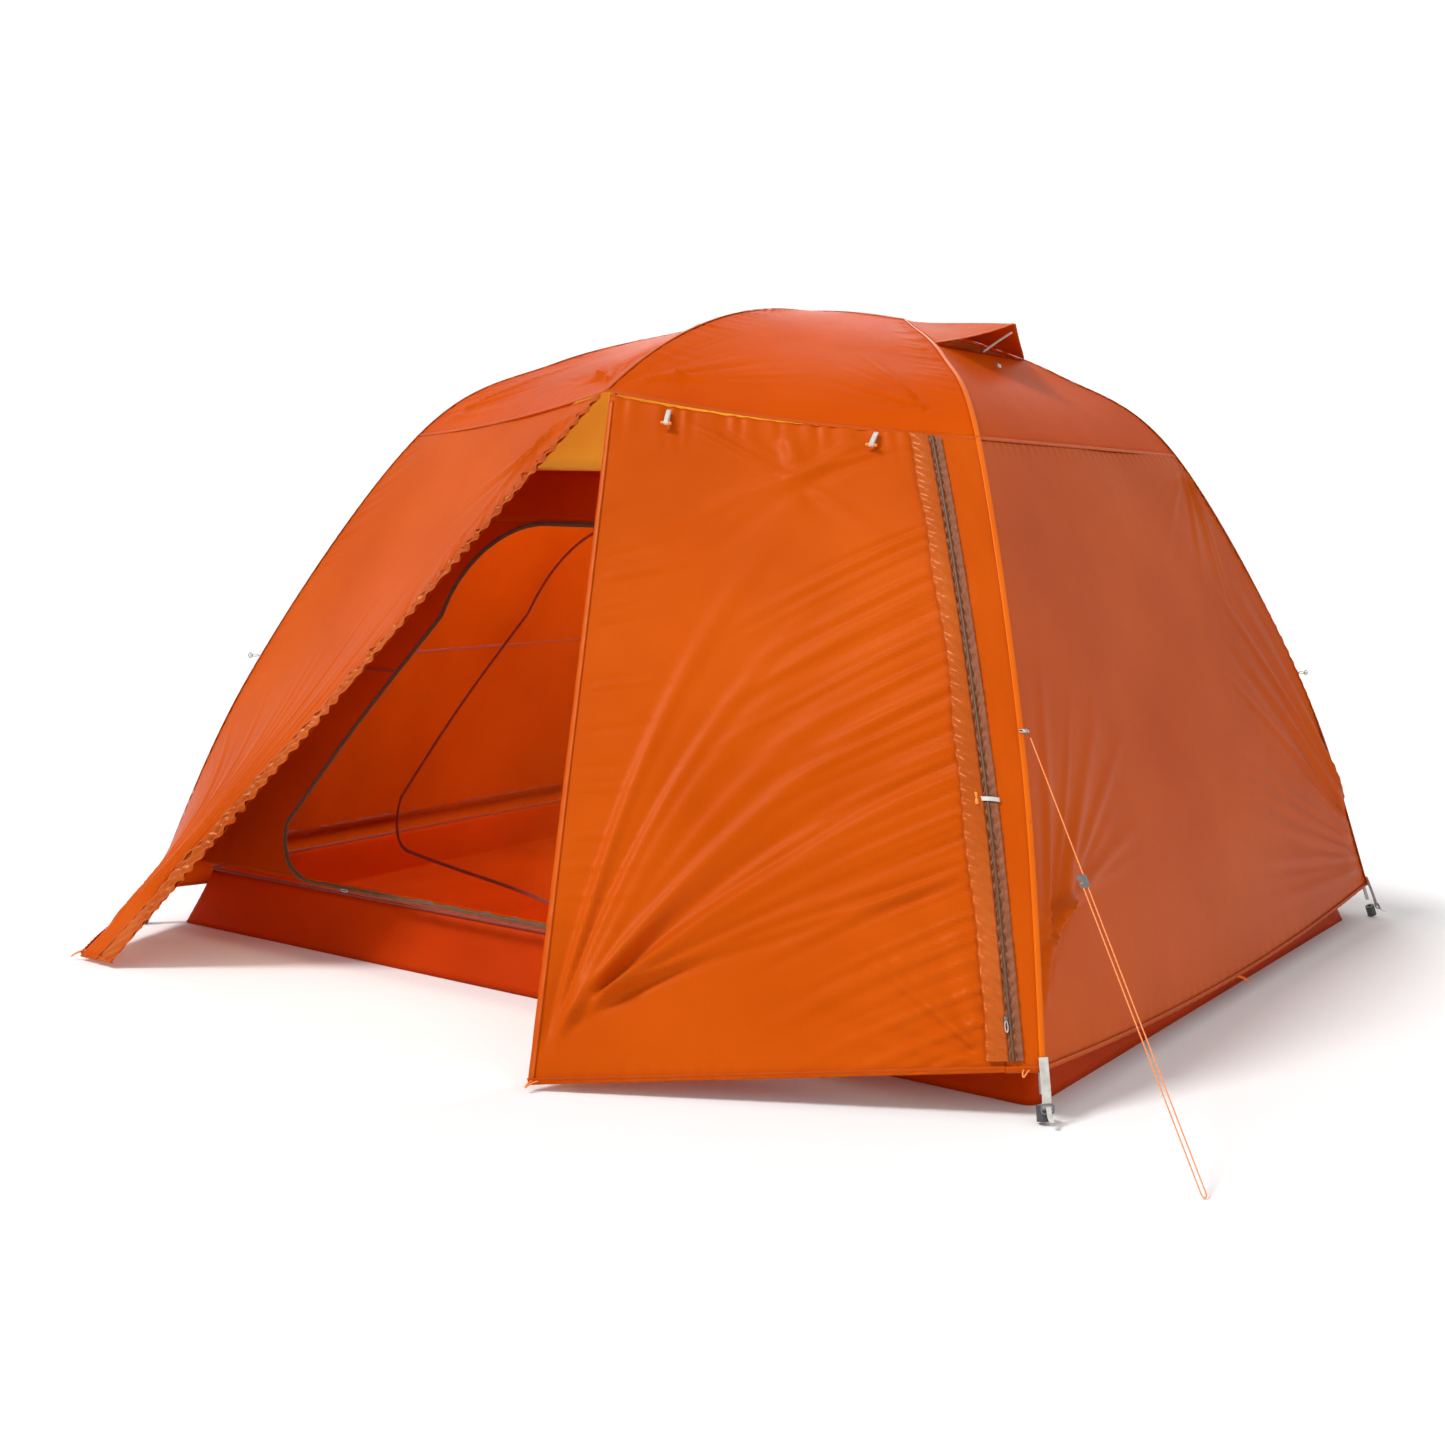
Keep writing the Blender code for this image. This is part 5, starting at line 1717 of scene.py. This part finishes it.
def make_sliders(look, pull):
    for side_name, side in SIDES.items():
        normal = panel_facing(side, SLIDER_V)
        leg_line = leg(RIGHT, side, mix(KNEE_T, HEM_T, SLIDER_V))
        middle = mix(zip_line(side, SLIDER_V), leg_line, 0.12) + normal * SLIDER_STANDOFF
        down = (zip_line(side, SLIDER_V + 0.02) - zip_line(side, SLIDER_V - 0.02)).normalized()
        across = normal.cross(down)
        name = f"{side_name}_fly_slider"
        make_slider(f"{name}_body", middle, across, down, normal, look, pull, name,
                    f"{side_name}_fly_zip_slider")
        _, y = inner_corner(DOOR_SILL)
        middle = Vector((INNER_SLIDER_X, side * (y + 0.0065), DOOR_SILL - 0.004))
        along, normal = Vector((1.0, 0.0, 0.0)), Vector((0.0, side, 0.0))
        name = f"{side_name}_inner_slider"
        across = normal.cross(along)
        make_slider(f"{name}_body", middle, across, along, normal, look, pull, name,
                    f"{side_name}_inner_zip_slider")


def stake_loop(name, root, away, look, reach, width=0.010, radius=0.0016, body=TENT):
    """A cord loop sewn under a hem corner for a stake."""
    away = away.normalized()
    beside = away.cross(UP).normalized()
    points = []
    for a in spread(0.0, math.pi, 25):
        spot = root + beside * width / 2 * math.cos(a) * (1 - 0.25 * math.sin(a))
        spot += away * reach * math.sin(a) ** 0.8
        spot.z = max(spot.z - 0.35 * reach * math.sin(a) ** 2, radius + 0.0004)
        points.append(spot)
    finish_piece(tube_mesh(name, points, radius), look, body)


def make_stake_loops(look):
    for side_name, side in SIDES.items():
        corner = side_point(DOOR_CORNER, side) + Vector((0.012, -side * 0.012, 0.008))
        stake_loop(f"{side_name}_door_stake_loop", corner, Vector((-0.25, side, 0.0)), look, 0.026,
                   body=AWNINGS[side])
        tip = side_point(FLAP_TIP, side) + Vector((0.004, -side * 0.02, 0.012))
        stake_loop(f"{side_name}_flap_stake_loop", tip, Vector((-0.8, side, 0.0)), look, 0.038)
        foot = zip_strip(side, 0.55, 1.0) + Vector((0.0, 0.0, 0.004))
        stake_loop(f"{side_name}_strip_stake_loop", foot, Vector((0.2, side, 0.0)), look, 0.022)
    for end_name, end in ENDS.items():
        hem = end_panel(end, 0.5, 1.0) + Vector((0.0, 0.0, 0.003))
        stake_loop(f"{end_name}_hem_loop", hem, Vector((end, 0.0, 0.0)), look, 0.030)


# Corner hardware and guyouts


STRAP_STANDOFF = 0.010
STRAP_TOP_T, STRAP_FOOT_T = 0.034, 0.0125
GUYOUT_T = 0.272
GUYOUT_LENGTH = 0.02448


def corner_axes(end, side):
    """Level directions at a corner: away from the tent, and across that."""
    away = Vector((end * 0.75, side * 0.66, 0.0)).normalized()
    return away, Vector((-side * 0.66, end * 0.75, 0.0)).normalized()


def squarish(x):
    """A cosine or sine bent so that a circle of them becomes a rounded rectangle."""
    return math.copysign(abs(x) ** 0.45, x)


def make_corner(where, end, side, webbing, plastic):
    """The fly's corner strap: webbing from the hem to a buckle's frame and bar, and a short loose tail."""
    away, across = corner_axes(end, side)
    top = leg(end, side, STRAP_TOP_T + 0.012) + away * STRAP_STANDOFF * 0.5
    middle = leg(end, side, 0.5 * (STRAP_TOP_T + STRAP_FOOT_T)) + away * (STRAP_STANDOFF + 0.001)
    foot = leg(end, side, STRAP_FOOT_T) + away * STRAP_STANDOFF
    points = [smooth_path([top, middle, foot], t) for t in spread(0.0, 1.0, 22)]
    band = band_mesh(f"corner_webbing_{where}", points, across, 0.019, 0.0013)
    finish_piece(band, webbing, TENT, [f"corner_strap_{where}"])
    run = (foot - middle).normalized()
    normal = turned(run.cross(across).normalized(), away)
    outline = []
    for a in spread(0.0, math.tau, 33):
        wide, long = 0.0125 * squarish(math.cos(a)), 0.0085 * squarish(math.sin(a))
        outline.append(foot + across * wide + run * long + normal * 0.0024)
    finish_piece(tube_mesh(f"corner_buckle_{where}", outline, 0.0017), plastic, TENT)
    rail = [foot + across * s * 0.0120 + run * 0.0010 + normal * 0.0034 for s in spread(-1.0, 1.0, 9)]
    finish_piece(tube_mesh(f"corner_buckle_bar_{where}", rail, 0.0014), plastic, TENT)
    root = foot + normal * 0.0044
    tail = [root + run * down + away * out for down, out in ((-0.004, 0.002), (0.014, 0.008), (0.020, 0.018))]
    points = [smooth_path(tail, t) for t in spread(0.0, 1.0, 12)]
    finish_piece(band_mesh(f"corner_tail_{where}", points, across, 0.010, 0.0011), webbing, TENT)


def make_guyout(where, end, side, webbing, hardware):
    """A webbing loop on the leg that holds a small grey ring."""
    away, across = corner_axes(end, side)
    root = leg(end, side, GUYOUT_T) + away * 0.0040
    points = []
    for s in spread(0.0, 1.0, 9):
        points.append(root + away * GUYOUT_LENGTH * s + UP * 0.0030 * math.sin(math.pi * s))
    for s in spread(1.0, 0.0, 9):
        points.append(root + away * GUYOUT_LENGTH * s - UP * (0.0020 * math.sin(math.pi * s) + 0.0008))
    loop = band_mesh(f"guyout_loop_{where}", points, across, 0.012, 0.0010)
    finish_piece(loop, webbing, TENT, [f"guyout_{where}"])
    ring = []
    for a in spread(0.0, math.tau, 25):
        ring.append(root + away * (GUYOUT_LENGTH - 0.001 + 0.0050 * math.cos(a)) + UP * 0.0060 * math.sin(a))
    finish_piece(tube_mesh(f"guyout_ring_{where}", ring, 0.0010), hardware, TENT)


def make_side_tie(side_name, side, webbing, look):
    """The tie beside the zip half way down: a webbing tab with its own small toggle."""
    v = 0.60
    facing = panel_facing(side, v)
    root = fly_zip_place(side, 0.040, v, 0.0030)
    across = (zip_line(side, v + 0.02) - zip_line(side, v - 0.02)).normalized()
    towards = (leg(RIGHT, side, panel_t(v)) - door_edge(side, v)).normalized()
    points = []
    for s in spread(0.0, 1.0, 12):
        points.append(root - towards * 0.046 * s + facing * (0.002 + 0.005 * math.sin(math.pi * s)))
    tab = band_mesh(f"{side_name}_side_tie_tab", points, across, 0.009, 0.0009)
    finish_piece(tab, webbing, TENT)
    bar = spun(f"{side_name}_side_tie_toggle", toggle_profile(), points[-1] + facing * 0.0035, across)
    finish_piece(bar, look, TENT)


def make_roll_ties(webbing):
    """The band round the rolled door, and the strap that hangs inside the doorway's apex."""
    v = mix(ROLL_TOP_V, ROLL_FOOT_V, 0.52)
    middle, across, behind = roll_frame(v, mix(ROLL_TOP_R, ROLL_FOOT_R, 0.52))
    along = across.cross(behind).normalized()
    points = []
    for a in spread(0.0, math.tau, 40):
        points.append(middle + (across * math.cos(a) + behind * math.sin(a)) * 0.0205)
    band = band_mesh("near_roll_tie", points, along, 0.010, 0.0009)
    finish_piece(band, webbing, NEAR_AWNING)
    top = apex(NEAR, 0.0) + Vector((0.006, 0.012, -0.010))
    points = [top + Vector((0.006 * math.sin(3 * s), 0.006 * s, -0.150 * s)) for s in spread(0.0, 1.0, 20)]
    strap = band_mesh("near_apex_strap", points, Vector((1.0, 0.0, 0.0)), 0.012, 0.0010)
    finish_piece(strap, webbing, TENT)


# Poles


POLE_HANG = 0.013
FERRULE_T = 0.27
FERRULE_HALF = ((0.0057, 0.018), (0.0055, 0.0195), (0.0049, 0.020))
FERRULE = [(radius, -height) for radius, height in reversed(FERRULE_HALF)] + list(FERRULE_HALF)
CLIP_STATIONS = (0.12, 0.20, 0.34, 0.42)


def make_pole_details(metal, dark):
    """Ferrules where the leg sections join, and the clips that hang the inner tent from the legs."""
    for where, end, side in CORNERS:
        middle = inward(leg(end, side, FERRULE_T), POLE_HANG)
        axis = (inward(leg(end, side, FERRULE_T + 0.02), POLE_HANG) - middle).normalized()
        finish_piece(spun(f"ferrule_{where}", FERRULE, middle, axis, 32), metal, TENT)
        for i, t in enumerate(CLIP_STATIONS):
            clip_at(f"clip_{i + 1}_{where}", end, side, t, dark)


def clip_at(name, end, side, t, look):
    """A hook over the pole with a short neck down to the inner tent's seam."""
    pole = inward(leg(end, side, t), POLE_HANG)
    neck_run = inner_leg(end, side, t) - pole
    along = inward(leg(end, side, t + 0.01), POLE_HANG) - pole
    _, along, towards = axes(along, neck_run)
    beside = along.cross(towards)
    points = []
    for a in spread(-0.5, math.pi + 0.35, 18):
        points.append(pole + (beside * math.cos(a) - towards * math.sin(a)) * 0.0064)
    neck = [mix(points[-1], pole + towards * neck_run.length, s) for s in spread(0.0, 1.0, 8)[1:]]
    finish_piece(band_mesh(name, points + neck, along, 0.010, 0.0016), look, TENT)


# Making


def dress(names, look):
    """Give carried-over CAD pieces their finish."""
    for name in names:
        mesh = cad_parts[name].data
        mesh.materials.clear()
        mesh.materials.append(look)


def dress_poles(metal, plastic):
    dress([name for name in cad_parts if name.startswith(("leg_", "brow_pole", "ridge_pole"))], metal)
    dress([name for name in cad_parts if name.startswith(("hub", "foot"))], plastic)


def make_fly(roof, side, binding, hem, crinkled, zip_tape, coil):
    make_cap(roof)
    for end_name, end in ENDS.items():
        make_fly_end(end_name, end, side)
    for side_name, way in SIDES.items():
        make_left_panel(side_name, way, side)
        make_door(side_name, way, side)
        make_strip(side_name, way, side)
    make_far_middle(side)
    make_roll(side)
    make_roof_seams(binding, hem)
    make_hems(hem)
    make_storm_flaps(crinkled, hem)
    make_fly_zips(zip_tape, crinkled, coil)


def main():
    make_camera()
    make_stage()
    roof = coated_cloth("roof cloth", (0.690, 0.084, 0.0002), (0.780, 0.110, 0.0004), glow=0.25, gloss=0.06)
    side = coated_cloth("side cloth", (0.650, 0.088, 0.0010), (0.740, 0.116, 0.0036),
                        roughness=0.36, glow=0.25, gloss=0.11)
    crinkled = coated_cloth("storm flap cloth", (0.500, 0.082, 0.0050), (0.700, 0.150, 0.0200),
                            roughness=0.30, glow=0.20, gloss=0.5)
    binding = coated_cloth("leg seam cloth", (0.860, 0.150, 0.0030), (0.950, 0.190, 0.0060),
                           roughness=0.34, glow=0.15)
    hem = coated_cloth("hem cloth", (0.560, 0.074, 0.0020), (0.660, 0.098, 0.0040), roughness=0.42, glow=0.12)
    cord = cord_look("guyline braid", (1.0, 0.32, 0.08), (0.85, 0.20, 0.03))
    hardware = plastic_look("grey nylon", (0.16, 0.16, 0.165))
    dark = plastic_look("dark grey nylon", (0.055, 0.055, 0.060))
    pale = plastic_look("clear grey nylon", (0.52, 0.52, 0.50), 0.30)
    toggle = plastic_look("orange toggle", (0.95, 0.27, 0.03), 0.35)
    metal = metal_look("anodised aluminium")
    webbing = tape_look("white webbing", (0.60, 0.58, 0.53), 0.75)
    loops = cord_look("orange stake loop", (1.0, 0.30, 0.04), (0.90, 0.18, 0.015))
    solid = coated_cloth("inner cloth", (0.54, 0.062, 0.0004), (0.66, 0.086, 0.0008),
                         roughness=0.6, glow=0.35, gloss=0.15)
    tub = coated_cloth("tub cloth", (0.60, 0.044, 0.0004), (0.72, 0.060, 0.0008),
                       roughness=0.5, glow=0.30, gloss=0.15)
    floor_cloth = coated_cloth("floor cloth", (0.66, 0.095, 0.0006), (0.78, 0.140, 0.0010),
                               roughness=0.5, glow=0.1, gloss=0.15)
    net = netting_look("orange netting", (1.0, 0.70, 0.110), cover=0.80)
    sheer = netting_look("sheer netting", (0.70, 0.16, 0.010), cover=0.10, thread_cover=0.16)
    vent_net = netting_look("tan netting", (0.62, 0.30, 0.11), cover=0.85)
    tape = tape_look("inner seam binding", (0.28, 0.022, 0.004))
    inner_zip = tape_look("olive zip tape", (0.150, 0.060, 0.016))
    fly_zip = tape_look("brown zip tape", (0.270, 0.075, 0.022), strength=0.5)
    coil = plastic_look("zip coil", (0.13, 0.060, 0.022), 0.5)
    make_guyline(cord, hardware)
    make_inner(solid, net, sheer, tub, floor_cloth, tape, inner_zip, coil)
    make_fly(roof, side, binding, hem, crinkled, fly_zip, coil)
    make_vent(roof, hem, vent_net, webbing)
    for side_name, way in SIDES.items():
        for index, place in enumerate(TOGGLE_PLACES, 1):
            make_toggle(side_name, way, index, place, toggle, webbing)
        make_side_tie(side_name, way, webbing, toggle)
    make_sliders(hardware, pale)
    make_stake_loops(loops)
    make_roll_ties(webbing)
    make_pole_details(metal, dark)
    for where, end, way in CORNERS:
        make_corner(where, end, way, webbing, hardware)
        make_guyout(where, end, way, webbing, hardware)
    dress_poles(metal, dark)


main()
